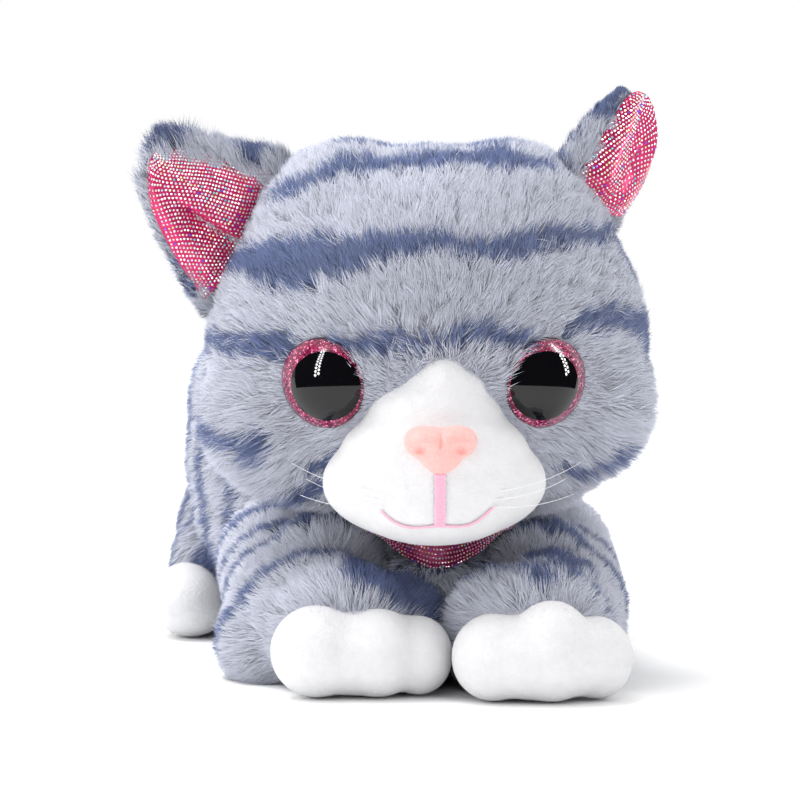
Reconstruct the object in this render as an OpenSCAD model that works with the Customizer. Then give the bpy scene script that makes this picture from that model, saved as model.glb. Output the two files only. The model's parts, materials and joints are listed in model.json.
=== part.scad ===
// Interactive plush pet: a striped kitten lying down. The head turns and the tail wags on
// geared motors inside the torso, and touch switches sit under the crown and the back.
// Millimetres. The cat faces -Y, its left side is +X, and it lies on the plane z = 0.

/* [Head] */
// Half of the head's width, skin only
head_half_w = 64; // [60:1:68]
// Radius of the head about its left-right axis
head_r = 57; // [54:1:58]
// Height of the head's centre
head_z = 100; // [99:1:104]
// Turn of the head in the rest pose, towards the cat's right
head_rest_yaw = -6; // [-10:1:0]
// Diameter of each domed eye
eye_d = 26; // [22:1:28]
// Distance between the eye centres
eye_pitch = 64; // [58:1:68]

/* [Torso] */
// Half of the rear torso's width
torso_half_w = 60; // [58:1:64]
// Half of the rear torso's height, as if it went on below the floor
torso_half_h = 60; // [58:1:62]
// Height of the rear torso's middle
torso_z = 54; // [52:1:55]
// Half of the rear torso's length
torso_half_l = 86; // [84:1:90]
// Half of the chest's width
chest_r = 40; // [38:1:40]
// Thickness of the plush skins
skin = 3; // [2:0.5:3]

/* [Legs and tail] */
// Radius of the elbow
elbow_r = 18; // [16:0.5:18]
// Radius of each front toe
toe_r = 13; // [11:0.5:14]
// Radius of the haunch
haunch_r = 28; // [26:1:28]
// Radius of the tail
tail_r = 11; // [9:0.5:12]

/* [Drive] */
// Gear module
gear_m = 1; // [1:0.1:1]
// Teeth on the neck gear and on the layshaft's large gear
wheel_teeth = 48; // [48:1:48]
// Teeth on the small pinions of the head drive
pinion_teeth = 12; // [12:1:12]
// Teeth on the tail gear
tail_teeth = 40; // [40:1:40]
// Teeth on the tail motor's pinion
tail_pinion_teeth = 10; // [10:1:10]
// Travel of the two touch buttons
button_travel = 1.5; // [1:0.5:1.5]

/* [Hidden] */
$fn = 64;
far = 400; // longer than the whole toy, for cutting boxes

// Colours
fur = [0.74, 0.76, 0.82];
white_plush = [0.96, 0.96, 0.97];
fill_white = [0.93, 0.93, 0.9];
black_plastic = [0.12, 0.12, 0.13];
grey_plastic = [0.62, 0.64, 0.66];
white_plastic = [0.9, 0.9, 0.88];
steel = [0.72, 0.73, 0.75];
brass = [0.78, 0.62, 0.3];
sequin_pink = [0.8, 0.16, 0.42];

// Head
neck = [0, -52, 0];               // the vertical axis that the head turns on
head_c = [0, -70, head_z];        // centre of the head
neck_hole_r = 16;
eye_drop = 10.5;                  // eye centres below the head's centre
eye_recess = 1.5;
eye_base_t = 1.2;
eye_art_t = 0.6;                  // glitter ring and pupil under the lens
eye_pupil_r = 9.3;
eye_shank_r = 2.5;
muzzle_c = [0, -116, 68];
muzzle_half_w = 33;
muzzle_r = 26;
nose_c = [0, -139, 72];
nose_half_w = 11;
nose_r = 7.2;
ear_t = 7;
lining_t = 1.2;

// Torso
torso_y = 30;                     // middle of the rear torso
chest_top = 36;
chest_back = -7.5;                // the rear torso starts here, behind the turning head
torso_corner_r = 74;              // rounds the rear torso's ends
belly_half_w = 44;
belly_end = 95;
belly_top = 40;
haunch_c = [40, 66, 28];
haunch_half_l = 40;
shoulder_r = 20;
wrist_r = 14.5;
right_wrist = [-29, -111, 15];    // the front paws grow from the wrists
left_wrist = [20.5, -129, 15];
paw_reach = 27;                   // from a wrist to its toe tips
toe_pitch = 10.5;
hind_paw_c = [65, 36, 12.2];
hind_paw_half_l = 21;
hind_paw_r = 12;
leg_gap = 0.3;

// Chassis
plate_t = 2.5;
wall = 2;
front_box = [29, -66, 30];        // half width, front end, top
rear_box = [36, 88, 66];          // half width, rear end, top
box_step = chest_back + skin + 0.3; // where the low front box meets the tall rear one

// Gear train: the axes lie on x = 0
wheel_r = gear_m * wheel_teeth / 2;
pinion_r = gear_m * pinion_teeth / 2;
tail_wheel_r = gear_m * tail_teeth / 2;
tail_pinion_r = gear_m * tail_pinion_teeth / 2;
lay_y = neck.y + wheel_r + pinion_r;
motor_y = lay_y + wheel_r + pinion_r;
tail_z = 56;
tail_motor_z = tail_z - tail_wheel_r - tail_pinion_r;
run = 0.05;                       // radial clearance of a running fit
neck_r = 3;
pin_r = 1.5;
tail_shaft_r = 2.5;
motor_r = 10;
motor_l = 24;
neck_gear_z = [10, 16];
lay_wheel_z = [17, 21];
motor_z = 23;
tail_gear_y = [77, 81];
tail_motor_y = 50;

// Batteries: three AA cells across the toy
cell_r = 7.1;
cell_l = 50.5;
cell_y = [30, 45, 60];
cell_z = 10;
battery_box = [33, 21, 69, 20.5]; // half width, front, rear, top
door = [30, 23.5, 66.5];          // half width, front, rear of the door's opening

// Touch switches
back_sensor_y = 34;
back_sensor_z = 98;
head_sensor_z = 141;
sensor_r = 12;
button_r = 10.2;

// ---------- Shared shapes ----------

// Half outline of a superellipse of half length a and radius b, from end to end
function half_oval(a, b, n = 24, power = 2) = [
    for (i = [0 : n])
        let (t = 180 * i / n, c = cos(t), s = sin(t))
        [b * pow(abs(s), 2 / power), a * sign(c) * pow(abs(c), 2 / power)]
];

// Oval of revolution about Z
module oval(a, b, power = 2) {
    rotate_extrude($fn = 96) polygon(half_oval(a, b, 24, power));
}

module oval_along_x(a, b, power = 2) {
    rotate([0, 90, 0]) oval(a, b, power);
}

module oval_along_y(a, b, power = 2) {
    rotate([90, 0, 0]) oval(a, b, power);
}

module box(low, high) {
    translate(low) cube(high - low);
}

// Puts the head's pieces at their turned rest pose
module head_pose() {
    translate(neck) rotate([0, 0, head_rest_yaw]) translate(-neck) children();
}

module both_sides() {
    children();
    mirror([1, 0, 0]) children();
}

// Involute spur gear on Z with a tooth centred on +X, from z = 0
pressure = 25;
addendum = 0.8;
dedendum = 1.05;
backlash = 0.22;
flank_steps = 4;
function involute(angle) = tan(angle) * 180 / PI - angle;
function half_tooth(r, rp, rb, teeth) =
    90 / teeth - backlash / 2 / rp * 90 / PI + involute(pressure)
    - involute(acos(min(1, rb / max(r, rb))));
function flank_radii(rp, rb, tip, root) = let (from = max(rb, root)) concat(
    root < rb ? [root] : [],
    [for (i = [0 : flank_steps]) from + (tip - from) * i / flank_steps]
);
function gear_outline(teeth) =
    let (
        rp = gear_m * teeth / 2,
        rb = rp * cos(pressure),
        tip = rp + addendum * gear_m,
        root = rp - dedendum * gear_m,
        radii = flank_radii(rp, rb, tip, root),
        last = len(radii) - 1
    )
    [
        for (k = [0 : teeth - 1], side = [-1, 1], i = [0 : last])
            let (
                r = side < 0 ? radii[i] : radii[last - i],
                a = 360 * k / teeth + side * half_tooth(r, rp, rb, teeth)
            )
            r * [cos(a), sin(a)]
    ];
module gear(teeth, width) {
    linear_extrude(width) polygon(gear_outline(teeth));
}

// Circle sector for trimming a gear, centred on +X
module sector(r, half_angle, width) {
    linear_extrude(width)
        polygon([[0, 0], for (i = [-4 : 4]) r * [cos(half_angle * i / 4), sin(half_angle * i / 4)]]);
}

// ---------- Torso ----------

module haunch_shape(side, grow = 0) {
    intersection() {
        translate([side * haunch_c.x, haunch_c.y, haunch_c.z])
            oval_along_y(haunch_half_l + grow, haunch_r + grow, 2.2);
        box([side > 0 ? belly_half_w - grow : -far, -far, grow],
            [side > 0 ? far : -belly_half_w + grow, far, far]);
    }
}

module chest_shape(inset = 0) {
    translate([0, 0, inset]) linear_extrude(chest_top - 2 * inset) {
        translate([0, neck.y]) circle(chest_r - inset, $fn = 96);
        translate([-chest_r + inset, neck.y])
            square([2 * (chest_r - inset), chest_back - neck.y + 2 * inset + 2]);
    }
}

// Rounded box with bulging sides and ends that narrow
module rear_torso_shape(inset) {
    outline = half_oval(torso_half_h - inset, torso_half_w - inset, 24, 3);
    translate([0, torso_y, torso_z]) intersection() {
        oval_along_y(torso_half_l - inset, torso_corner_r - inset, 2.5);
        rotate([90, 0, 0]) linear_extrude(2 * far, center = true)
            polygon(concat(outline, [for (p = outline) [-p.x, -p.y]]));
    }
}

module torso_shape(inset = 0) {
    chest_shape(inset);
    difference() {
        union() {
            intersection() {
                rear_torso_shape(inset);
                box([-far, chest_back + inset, inset], [far, far, far]);
            }
            box([-belly_half_w + inset, chest_back + inset, inset],
                [belly_half_w - inset, belly_end - inset, belly_top - inset]);
        }
        haunch_shape(1, inset);
        haunch_shape(-1, inset);
    }
}

// Outline of the chassis, seen from above
module chassis_outline(grow = 0) {
    translate([-front_box.x - grow, front_box.y - grow])
        square([2 * (front_box.x + grow), box_step - front_box.y + 2 * grow + 1]);
    translate([-rear_box.x - grow, box_step - grow])
        square([2 * (rear_box.x + grow), rear_box.y - box_step + 2 * grow]);
}

module chassis_space(grow = 0) {
    box([-front_box.x - grow, front_box.y - grow, -1],
        [front_box.x + grow, box_step + 1, front_box.z + grow]);
    box([-rear_box.x - grow, box_step - grow, -1],
        [rear_box.x + grow, rear_box.y + grow, rear_box.z + grow]);
}

module on_tail_axis(y) {
    translate([0, y, tail_z]) rotate([-90, 0, 0]) children();
}

module body_skin() {
    color(fur) difference() {
        torso_shape();
        torso_shape(skin);
        translate([0, 0, -1]) linear_extrude(skin + 2) chassis_outline(0.2);
        translate(neck) cylinder(r = neck_hole_r, h = chest_top + 1);
        on_tail_axis(belly_end) cylinder(r = 5, h = 40);
    }
}

module body_fill() {
    color(fill_white) difference() {
        torso_shape(skin);
        chassis_space(0.3);
        translate(neck) cylinder(r = neck_hole_r, h = chest_top + 1);
        translate([0, back_sensor_y, rear_box.z - 1])
            cylinder(r = sensor_r + 4, h = far);
        on_tail_axis(rear_box.y - 1) cylinder(r = 7, h = 40);
    }
}

// ---------- Legs ----------

module ball(at, r) {
    translate(at) sphere(r, $fn = 32);
}

module foreleg_shape(side, wrist) {
    shoulder = [side * 44, -30, 29];
    elbow = [side * 44, -74, elbow_r + 0.2];
    hull() {
        ball(shoulder, shoulder_r);
        ball(elbow, elbow_r);
    }
    hull() {
        ball(elbow, elbow_r);
        ball(wrist, wrist_r);
    }
}

module paw_shape(wrist) {
    front = wrist.y - paw_reach + toe_r;
    hull() {
        ball([wrist.x, wrist.y - 4, 14.2], 14);
        for (toe = [-1 : 1])
            ball([wrist.x + toe * toe_pitch, front + abs(toe) * 3, toe_r + 0.2], toe_r);
    }
}

module foreleg(side, wrist) {
    color(fur) difference() {
        foreleg_shape(side, wrist);
        torso_shape();
        paw_shape(wrist);
        collar_ring(leg_gap);
    }
}

module foreleg_right() { foreleg(-1, right_wrist); }
module foreleg_left() { foreleg(1, left_wrist); }
module front_paw_right() { color(white_plush) paw_shape(right_wrist); }
module front_paw_left() { color(white_plush) paw_shape(left_wrist); }

module hind_paw_shape(side) {
    translate([side * hind_paw_c.x, hind_paw_c.y, hind_paw_c.z])
        oval_along_y(hind_paw_half_l, hind_paw_r, 2.2);
}

module haunch(side) {
    color(fur) difference() {
        haunch_shape(side);
        hind_paw_shape(side);
    }
}

module hind_paw(side) {
    color(white_plush) difference() {
        hind_paw_shape(side);
        torso_shape();
    }
}

module haunch_right() { haunch(-1); }
module haunch_left() { haunch(1); }
module hind_paw_right() { hind_paw(-1); }
module hind_paw_left() { hind_paw(1); }

// ---------- Collar ----------

module collar_ring(grow = 0) {
    translate([0, neck.y, chest_top + 0.5 - grow]) rotate_extrude($fn = 96)
        translate([41 - grow, 0]) square([2.5 + 2 * grow, 10 + 2 * grow]);
}

module collar() {
    color(sequin_pink) difference() {
        collar_ring();
        box([-far, chest_back - 0.5, 0], [far, far, far]);
    }
}

// ---------- Chassis and electrics ----------

module chassis_screw_places() {
    for (x = [-1, 1]) {
        translate([x * (front_box.x - 5), front_box.y + 5]) children();
        translate([x * (rear_box.x - 6), rear_box.y - 7]) children();
    }
}

module speaker_place() {
    translate([23.5, 8]) children();
}

module chassis_base() {
    bx = battery_box;
    color(grey_plastic) difference() {
        union() {
            linear_extrude(plate_t) chassis_outline();
            box([-bx[0], bx[1], 1], [bx[0], bx[2], bx[3]]);
            translate(neck) cylinder(r = 6, h = 9.5);
            translate([0, lay_y]) cylinder(r = 4, h = 9.7);
            for (x = [-1, 1])
                box([x * 12 - 1.4, motor_y - 5, 1], [x * 12 + 1.4, motor_y + 5, motor_z + 8]);
            for (y = [tail_motor_y + 2, tail_motor_y + 12])
                box([-11, y, bx[3] - 1], [11, y + 4, tail_motor_z - 3]);
        }
        // battery bay, open below for the door
        box([-31, 22.5, plate_t], [31, 67.5, bx[3] - 1.5]);
        box([-door.x, door.y, -1], [door.x, door.z, plate_t + 1]);
        translate([neck.x, neck.y, 3]) cylinder(r = neck_r + run, h = 20);
        translate([0, lay_y, 3]) cylinder(r = pin_r, h = 20);
        translate([0, motor_y, motor_z]) cylinder(r = motor_r + 0.2, h = 40);
        translate([0, tail_motor_y - 1, tail_motor_z]) rotate([-90, 0, 0])
            cylinder(r = motor_r + 0.2, h = motor_l + 2);
        chassis_screw_places() translate([0, 0, -1]) cylinder(r = 1.6, h = 20);
        chassis_screw_places() translate([0, 0, -1]) cylinder(r = 3.2, h = 2.2);
        // speaker grille
        speaker_place() {
            translate([0, 0, -1]) cylinder(r = 1.2, h = 8);
            for (ring = [1, 2], k = [0 : 6 * ring - 1])
                rotate([0, 0, 60 * k / ring]) translate([3.4 * ring, 0, -1])
                    cylinder(r = 1.1, h = 8);
        }
        // slot for the power switch's knob, and the well for its thumb
        box([-27, 5.5, -1], [-17, 10.5, 8]);
        // hole for the door's screw
        translate([0, door.y - 1.5, -1]) cylinder(r = 0.9, h = 1);
    }
}

module chassis_top() {
    color(black_plastic) difference() {
        union() {
            difference() {
                union() {
                    box([-front_box.x, front_box.y, plate_t],
                        [front_box.x, box_step + 1, front_box.z]);
                    box([-rear_box.x, box_step, plate_t], [rear_box.x, rear_box.y, rear_box.z]);
                }
                box([-front_box.x + wall, front_box.y + wall, 0],
                    [front_box.x - wall, box_step + wall + 1, front_box.z - wall]);
                box([-rear_box.x + wall, box_step + wall, 0],
                    [rear_box.x - wall, rear_box.y - wall, rear_box.z - wall]);
            }
            chassis_screw_places() translate([0, 0, plate_t]) cylinder(r = 4, h = 12);
        }
        chassis_screw_places() cylinder(r = 1.5, h = 11.5);
        translate([neck.x, neck.y, 10]) cylinder(r = 5, h = 40);
        on_tail_axis(rear_box.y - 10) cylinder(r = 4, h = 20);
    }
}

module chassis_screws() {
    color(steel) chassis_screw_places() {
        translate([0, 0, 1.2 - 0.9]) cylinder(r = 2.9, h = 0.9);
        translate([0, 0, 1]) cylinder(r = 1.5, h = 10.5);
    }
}

module battery_cells() {
    for (y = cell_y)
        color([0.25, 0.5, 0.3]) translate([-cell_l / 2, y, cell_z]) rotate([0, 90, 0]) {
            cylinder(r = cell_r, h = cell_l - 1.2);
            cylinder(r = 2.7, h = cell_l);
        }
}

module battery_contacts() {
    color(steel) both_sides() for (y = cell_y)
        box([26.6, y - 5, 4.5], [27.4, y + 5, 15.5]);
    color(steel) for (y = cell_y) {
        translate([-26.5, y, cell_z]) rotate([0, 90, 0]) cylinder(r1 = 4, r2 = 2.5, h = 1.2);
        translate([25.3, y, cell_z]) rotate([0, 90, 0]) cylinder(r = 2, h = 1.3);
    }
}

module battery_door() {
    gap = 0.3;
    color(grey_plastic) difference() {
        union() {
            box([-door.x + gap, door.y + gap, 0.2], [door.x - gap, door.z - gap, 2.2]);
            for (x = [-20 : 10 : 20])
                box([x - 3, door.z - 14, 0], [x + 3, door.z - 12.5, 1]);
        }
        translate([0, door.y + 5, -1]) cylinder(r = 1.6, h = 5);
        translate([0, door.y + 5, -1]) cylinder(r = 3, h = 2.1);
    }
}

module battery_door_screw() {
    color(steel) translate([0, door.y + 5, 0]) difference() {
        union() {
            translate([0, 0, 0.2]) cylinder(r = 2.9, h = 0.9);
            cylinder(r = 1.6, h = 2.6);
        }
        box([-2.2, -0.4, -1], [2.2, 0.4, 0.6]);
        box([-0.4, -2.2, -1], [0.4, 2.2, 0.6]);
        translate([0, 0, -1]) cylinder(r = 2, h = 1.2);
    }
}

module circuit_board() {
    color([0.1, 0.4, 0.22]) difference() {
        box([-30, 22, 46], [30, 72, 47.6]);
        for (x = [-26, 26], y = [26, 68])
            translate([x, y, 40]) cylinder(r = 1.5, h = 10);
    }
}

module board_parts() {
    color(black_plastic) {
        box([-8, 40, 47.6], [8, 52, 49.6]);
        box([-22, 34, 47.6], [-14, 42, 49]);
    }
    color([0.2, 0.3, 0.6]) for (y = [32, 44, 56])
        translate([20, y, 47.6]) cylinder(r = 3, h = 8);
    color(white_plastic) for (y = [32, 46])
        box([-28, y, 47.6], [-24, y + 9, 53]);
}

module speaker() {
    color(black_plastic) speaker_place() {
        translate([0, 0, plate_t]) cylinder(r = 9.5, h = 2);
        translate([0, 0, plate_t + 2]) cylinder(r = 6, h = 3.5);
    }
}

module power_switch_body() {
    color(steel) difference() {
        box([-31, 3, plate_t + 0.1], [-13.7, 13, 8.5]);
        box([-26.8, 5.7, 0], [-17.2, 10.3, 6]);
    }
}

module power_switch_knob() {
    color(black_plastic) box([-26.4, 6, 0.5], [-21.6, 10, 5.7]);
}

// ---------- Head drive ----------

module motor(shaft_r, length = motor_l) {
    difference() {
        union() {
            cylinder(r = motor_r, h = length);
            translate([0, 0, length]) cylinder(r = 3.5, h = 1);
        }
        translate([0, 0, -1]) cylinder(r = shaft_r + run, h = 9);
    }
}

module head_motor() {
    color(steel) translate([0, motor_y, motor_z]) motor(1);
}

module head_motor_pinion() {
    color(brass) translate([0, motor_y, lay_wheel_z[0] - 0.5]) {
        rotate([0, 0, -90 + 180 / pinion_teeth]) gear(pinion_teeth, 5);
        translate([0, 0, 5]) cylinder(r = 1, h = 8);
    }
}

module layshaft_pin() {
    color(steel) translate([0, lay_y, 3]) cylinder(r = pin_r, h = 22);
}

module layshaft_gear() {
    color(white_plastic) translate([0, lay_y, 0]) difference() {
        union() {
            translate([0, 0, lay_wheel_z[0]]) rotate([0, 0, 90])
                gear(wheel_teeth, lay_wheel_z[1] - lay_wheel_z[0]);
            translate([0, 0, neck_gear_z[0] - 0.1]) rotate([0, 0, -90 + 180 / pinion_teeth])
                gear(pinion_teeth, lay_wheel_z[0] - neck_gear_z[0] + 0.2);
        }
        cylinder(r = pin_r + run, h = 40);
        for (k = [0 : 5])
            rotate([0, 0, 60 * k]) translate([14, 0, 16.5]) cylinder(r = 4, h = 10);
    }
}

module neck_bush() {
    color(brass) translate(neck) difference() {
        union() {
            translate([0, 0, front_box.z - 6]) cylinder(r = 5, h = 10);
            translate([0, 0, front_box.z]) cylinder(r = 8, h = 2);
        }
        cylinder(r = neck_r + run, h = 60);
    }
}

module neck_shaft() {
    color(steel) translate([neck.x, neck.y, 3.3]) cylinder(r = neck_r, h = 72);
}

module neck_gear() {
    color(white_plastic) translate([neck.x, neck.y, neck_gear_z[0]]) difference() {
        union() {
            intersection() {
                rotate([0, 0, 90]) gear(wheel_teeth, neck_gear_z[1] - neck_gear_z[0]);
                rotate([0, 0, 90]) sector(2 * wheel_r, 46, 6);
            }
            cylinder(r = 8, h = neck_gear_z[1] - neck_gear_z[0] + 0.4);
        }
        translate([0, 0, -1]) cylinder(r = neck_r, h = 20);
    }
}

// ---------- Tail ----------

tail_start = 117;
tail_bend = 24;
tail_rise = 34;

module tail_path_solid(r, y_from) {
    on_tail_axis(y_from) cylinder(r = r, h = 122 - y_from);
    translate([0, 122, tail_z + tail_bend]) rotate([0, 90, 0])
        rotate_extrude(angle = 90) translate([tail_bend, 0]) circle(r);
    translate([0, 122 + tail_bend, tail_z + tail_bend]) cylinder(r = r, h = tail_rise);
    translate([0, 122 + tail_bend, tail_z + tail_bend + tail_rise]) sphere(r);
}

module tail_motor() {
    color(steel) translate([0, tail_motor_y + motor_l, tail_motor_z]) rotate([90, 0, 0]) motor(1);
}

module tail_motor_pinion() {
    color(brass) translate([0, tail_gear_y[0] - 0.5, tail_motor_z]) rotate([-90, 0, 0]) {
        rotate([0, 0, -90 + 180 / tail_pinion_teeth]) gear(tail_pinion_teeth, 5);
        translate([0, 0, -8]) cylinder(r = 1, h = 8);
    }
}

module tail_gear() {
    width = tail_gear_y[1] - tail_gear_y[0];
    color(white_plastic) on_tail_axis(tail_gear_y[0]) difference() {
        union() {
            intersection() {
                rotate([0, 0, 90]) gear(tail_teeth, width);
                rotate([0, 0, 90]) sector(2 * tail_wheel_r, 50, width);
            }
            cylinder(r = 6, h = width);
        }
        translate([0, 0, -1]) cylinder(r = tail_shaft_r, h = 20);
    }
}

module tail_bush() {
    color(brass) on_tail_axis(0) difference() {
        union() {
            translate([0, 0, rear_box.y - 5]) cylinder(r = 4, h = 10);
            translate([0, 0, rear_box.y]) cylinder(r = 6, h = 2);
        }
        cylinder(r = tail_shaft_r + run, h = 200);
    }
}

module tail_arm() {
    color(white_plastic) {
        on_tail_axis(74) cylinder(r = tail_shaft_r, h = 44);
        tail_path_solid(tail_shaft_r + 0.5, tail_start - 0.5);
    }
}

module tail_fill() {
    color(fill_white) difference() {
        tail_path_solid(tail_r - skin, tail_start + skin);
        tail_path_solid(tail_shaft_r + 0.5, tail_start - 0.5);
    }
}

module tail_skin() {
    color(fur) difference() {
        tail_path_solid(tail_r, tail_start);
        tail_path_solid(tail_r - skin, tail_start + skin);
        on_tail_axis(tail_start - 1) cylinder(r = tail_shaft_r + 0.5, h = skin + 2);
    }
}

// ---------- Touch switches ----------

module sensor_cup(low, foot) {
    difference() {
        union() {
            translate([0, 0, foot]) cylinder(r = 6, h = low - foot + 1);
            translate([0, 0, low]) cylinder(r = sensor_r, h = 7);
        }
        translate([0, 0, low + 2]) cylinder(r = button_r + 0.3, h = 10);
    }
}

// Height of a button's underside above its cup's foot, at rest
button_lift = 2.3 + button_travel;

module sensor_button(low) {
    translate([0, 0, low + button_lift]) {
        cylinder(r = button_r, h = 6.5);
        translate([0, 0, 6.5]) cylinder(r1 = button_r, r2 = button_r - 2, h = 1);
    }
}

module back_sensor_base() {
    color(white_plastic) translate([0, back_sensor_y, 0]) sensor_cup(back_sensor_z - 2, rear_box.z);
}

module back_sensor_button() {
    color(black_plastic) translate([0, back_sensor_y, 0]) sensor_button(back_sensor_z - 2);
}

module head_sensor_base() {
    color(white_plastic) head_pose() translate([head_c.x, head_c.y, 0])
        sensor_cup(head_sensor_z, head_sensor_z - 2);
}

module head_sensor_button() {
    color(black_plastic) head_pose() translate([head_c.x, head_c.y, 0])
        sensor_button(head_sensor_z);
}

// ---------- Head ----------

module head_shape(inset = 0) {
    translate(head_c) oval_along_x(head_half_w - inset, head_r - inset);
}

// Runs its children in an eye's frame: origin on the skin, +Z straight out of the head
eye_x = eye_pitch / 2;
eye_ring_r = head_r * sqrt(1 - pow(eye_x / head_half_w, 2));
eye_y = sqrt(pow(eye_ring_r, 2) - pow(eye_drop, 2));
eye_out = [eye_x / pow(head_half_w, 2), -eye_y / pow(head_r, 2), -eye_drop / pow(head_r, 2)];
eye_side_turn = atan2(eye_out.x, -eye_out.y);
eye_down_turn = atan2(-eye_out.z, norm([eye_out.x, eye_out.y]));

module at_eye(side) {
    translate(head_c + [side * eye_x, -eye_y, -eye_drop])
        rotate([0, 0, side * eye_side_turn])
            rotate([90 + eye_down_turn, 0, 0])
                children();
}

module eye_stack(side, from, to, r) {
    at_eye(side) translate([0, 0, from]) cylinder(r = r, h = to - from);
}

module head_skin() {
    color(fur) head_pose() difference() {
        head_shape();
        head_shape(skin);
        translate(neck) cylinder(r = neck_hole_r, h = 80);
        for (side = [-1, 1]) {
            eye_stack(side, -eye_recess, 10, eye_d / 2);
            eye_stack(side, -10, 1, eye_shank_r);
        }
    }
}

module head_fill() {
    color(fill_white) head_pose() difference() {
        head_shape(skin);
        translate(neck) cylinder(r = neck_hole_r, h = 80);
        translate([head_c.x, head_c.y, 57.5]) cylinder(r = 24.5, h = 4);
        translate([head_c.x, head_c.y, 57]) cylinder(r = 6.3, h = head_sensor_z - 57);
        translate([head_c.x, head_c.y, head_sensor_z - 2.5]) cylinder(r = sensor_r + 1, h = 60);
        for (side = [-1, 1]) {
            eye_stack(side, -14, 1, eye_shank_r);
            eye_stack(side, -skin - 3, 1, 8.2);
        }
    }
}

module head_frame() {
    color(white_plastic) head_pose() difference() {
        union() {
            translate([neck.x, neck.y, 46]) cylinder(r = 9, h = 33);
            translate([neck.x, neck.y, 58]) cylinder(r = 14, h = 3);
            translate([head_c.x, head_c.y, 58]) cylinder(r = 24, h = 3);
            translate([head_c.x, head_c.y, 58]) cylinder(r = 6, h = head_sensor_z - 60);
        }
        translate([neck.x, neck.y, 40]) cylinder(r = neck_r, h = 35.3);
    }
}

module muzzle_shape() {
    translate(muzzle_c) oval_along_x(muzzle_half_w, muzzle_r, 2.2);
}

module muzzle() {
    color(white_plush) head_pose() difference() {
        muzzle_shape();
        head_shape();
        for (side = [-1, 1]) eye_stack(side, -eye_recess, 12, eye_d / 2 + 0.3);
    }
}

module nose() {
    color([1, 0.8, 0.78]) head_pose() difference() {
        translate(nose_c) oval_along_x(nose_half_w, nose_r, 2.3);
        muzzle_shape();
    }
}

eye_art_at = eye_base_t - eye_recess;
eye_lens_at = eye_art_at + eye_art_t;
eye_lens_h = 6.5;

module eye_lens(side) {
    r = eye_d / 2;
    curve = (r * r + eye_lens_h * eye_lens_h) / (2 * eye_lens_h);
    color([0.95, 0.95, 1, 0.4]) head_pose() at_eye(side) translate([0, 0, eye_lens_at])
        intersection() {
            translate([0, 0, eye_lens_h - curve]) sphere(curve, $fn = 96);
            cylinder(r = r, h = 20);
        }
}

module eye_cup(side) {
    color(black_plastic) head_pose() {
        eye_stack(side, -eye_recess, eye_art_at, eye_d / 2);
        eye_stack(side, -12, -eye_recess, eye_shank_r);
    }
}

module eye_lens_right() { eye_lens(-1); }
module eye_lens_left() { eye_lens(1); }
module eye_cup_right() { eye_cup(-1); }
module eye_cup_left() { eye_cup(1); }

module eye_pupils() {
    color("black") head_pose() for (side = [-1, 1])
        eye_stack(side, eye_art_at, eye_lens_at, eye_pupil_r);
}

module eye_glitter_rings() {
    color([0.95, 0.45, 0.7]) head_pose() for (side = [-1, 1]) difference() {
        eye_stack(side, eye_art_at, eye_lens_at, eye_d / 2);
        eye_stack(side, eye_art_at - 1, eye_lens_at + 1, eye_pupil_r);
    }
}

module eye_washers() {
    color(white_plastic) head_pose() for (side = [-1, 1]) difference() {
        eye_stack(side, -skin - 2.4, -skin - 0.9, 7.9);
        eye_stack(side, -20, 5, eye_shank_r);
    }
}

// The right ear is splayed and faces forward; the left one is pricked and turned outward
right_ear_edge = [
    [-34, 148], [-38, 160], [-58, 166], [-82, 165], [-86, 155], [-76, 128], [-66, 108], [-50, 112]
];
right_lining_edge = [[-46, 149], [-80, 157], [-82, 150], [-69, 120]];
left_ear_edge = [[26, 148], [36, 158], [58, 176], [65, 178], [72, 164], [74, 146], [64, 130], [46, 132]];
left_lining_edge = [[44, 150], [62, 172], [68, 162], [69, 148], [61, 138]];
ear_y = head_c.y + 4;
left_ear_turn = 20;

module ear_plate(edge, y_from, y_to) {
    translate([0, y_to, 0]) rotate([90, 0, 0]) linear_extrude(y_to - y_from) polygon(edge);
}

// Turns the left ear about the foot of its inner edge
module left_ear_pose() {
    translate([36, ear_y, 0]) rotate([0, 0, left_ear_turn]) translate([-36, -ear_y, 0]) children();
}

module ear_right() {
    color(fur) head_pose() difference() {
        ear_plate(right_ear_edge, ear_y - ear_t / 2, ear_y + ear_t / 2);
        head_shape();
    }
}

module ear_left() {
    color(fur) head_pose() difference() {
        left_ear_pose() ear_plate(left_ear_edge, ear_y - ear_t / 2, ear_y + ear_t / 2);
        head_shape();
    }
}

module ear_lining_right() {
    color(sequin_pink) head_pose() difference() {
        ear_plate(right_lining_edge, ear_y - ear_t / 2 - lining_t, ear_y - ear_t / 2);
        head_shape();
    }
}

module ear_lining_left() {
    color(sequin_pink) head_pose() difference() {
        left_ear_pose() ear_plate(left_lining_edge, ear_y - ear_t / 2 - lining_t, ear_y - ear_t / 2);
        head_shape();
    }
}

// Three nylon bristles fanned out of one side of the muzzle
module whiskers(side) {
    color([0.95, 0.95, 0.97]) head_pose() difference() {
        for (k = [-1 : 1])
            translate([side * 17, -137, 58 + 2.5 * k])
                rotate([0, side * (82 - 7 * k), side * (16 - 6 * k)])
                    cylinder(r = 0.35, h = 27 - abs(k) * 3, $fn = 16);
        muzzle_shape();
    }
}

module whiskers_right() { whiskers(-1); }
module whiskers_left() { whiskers(1); }

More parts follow.
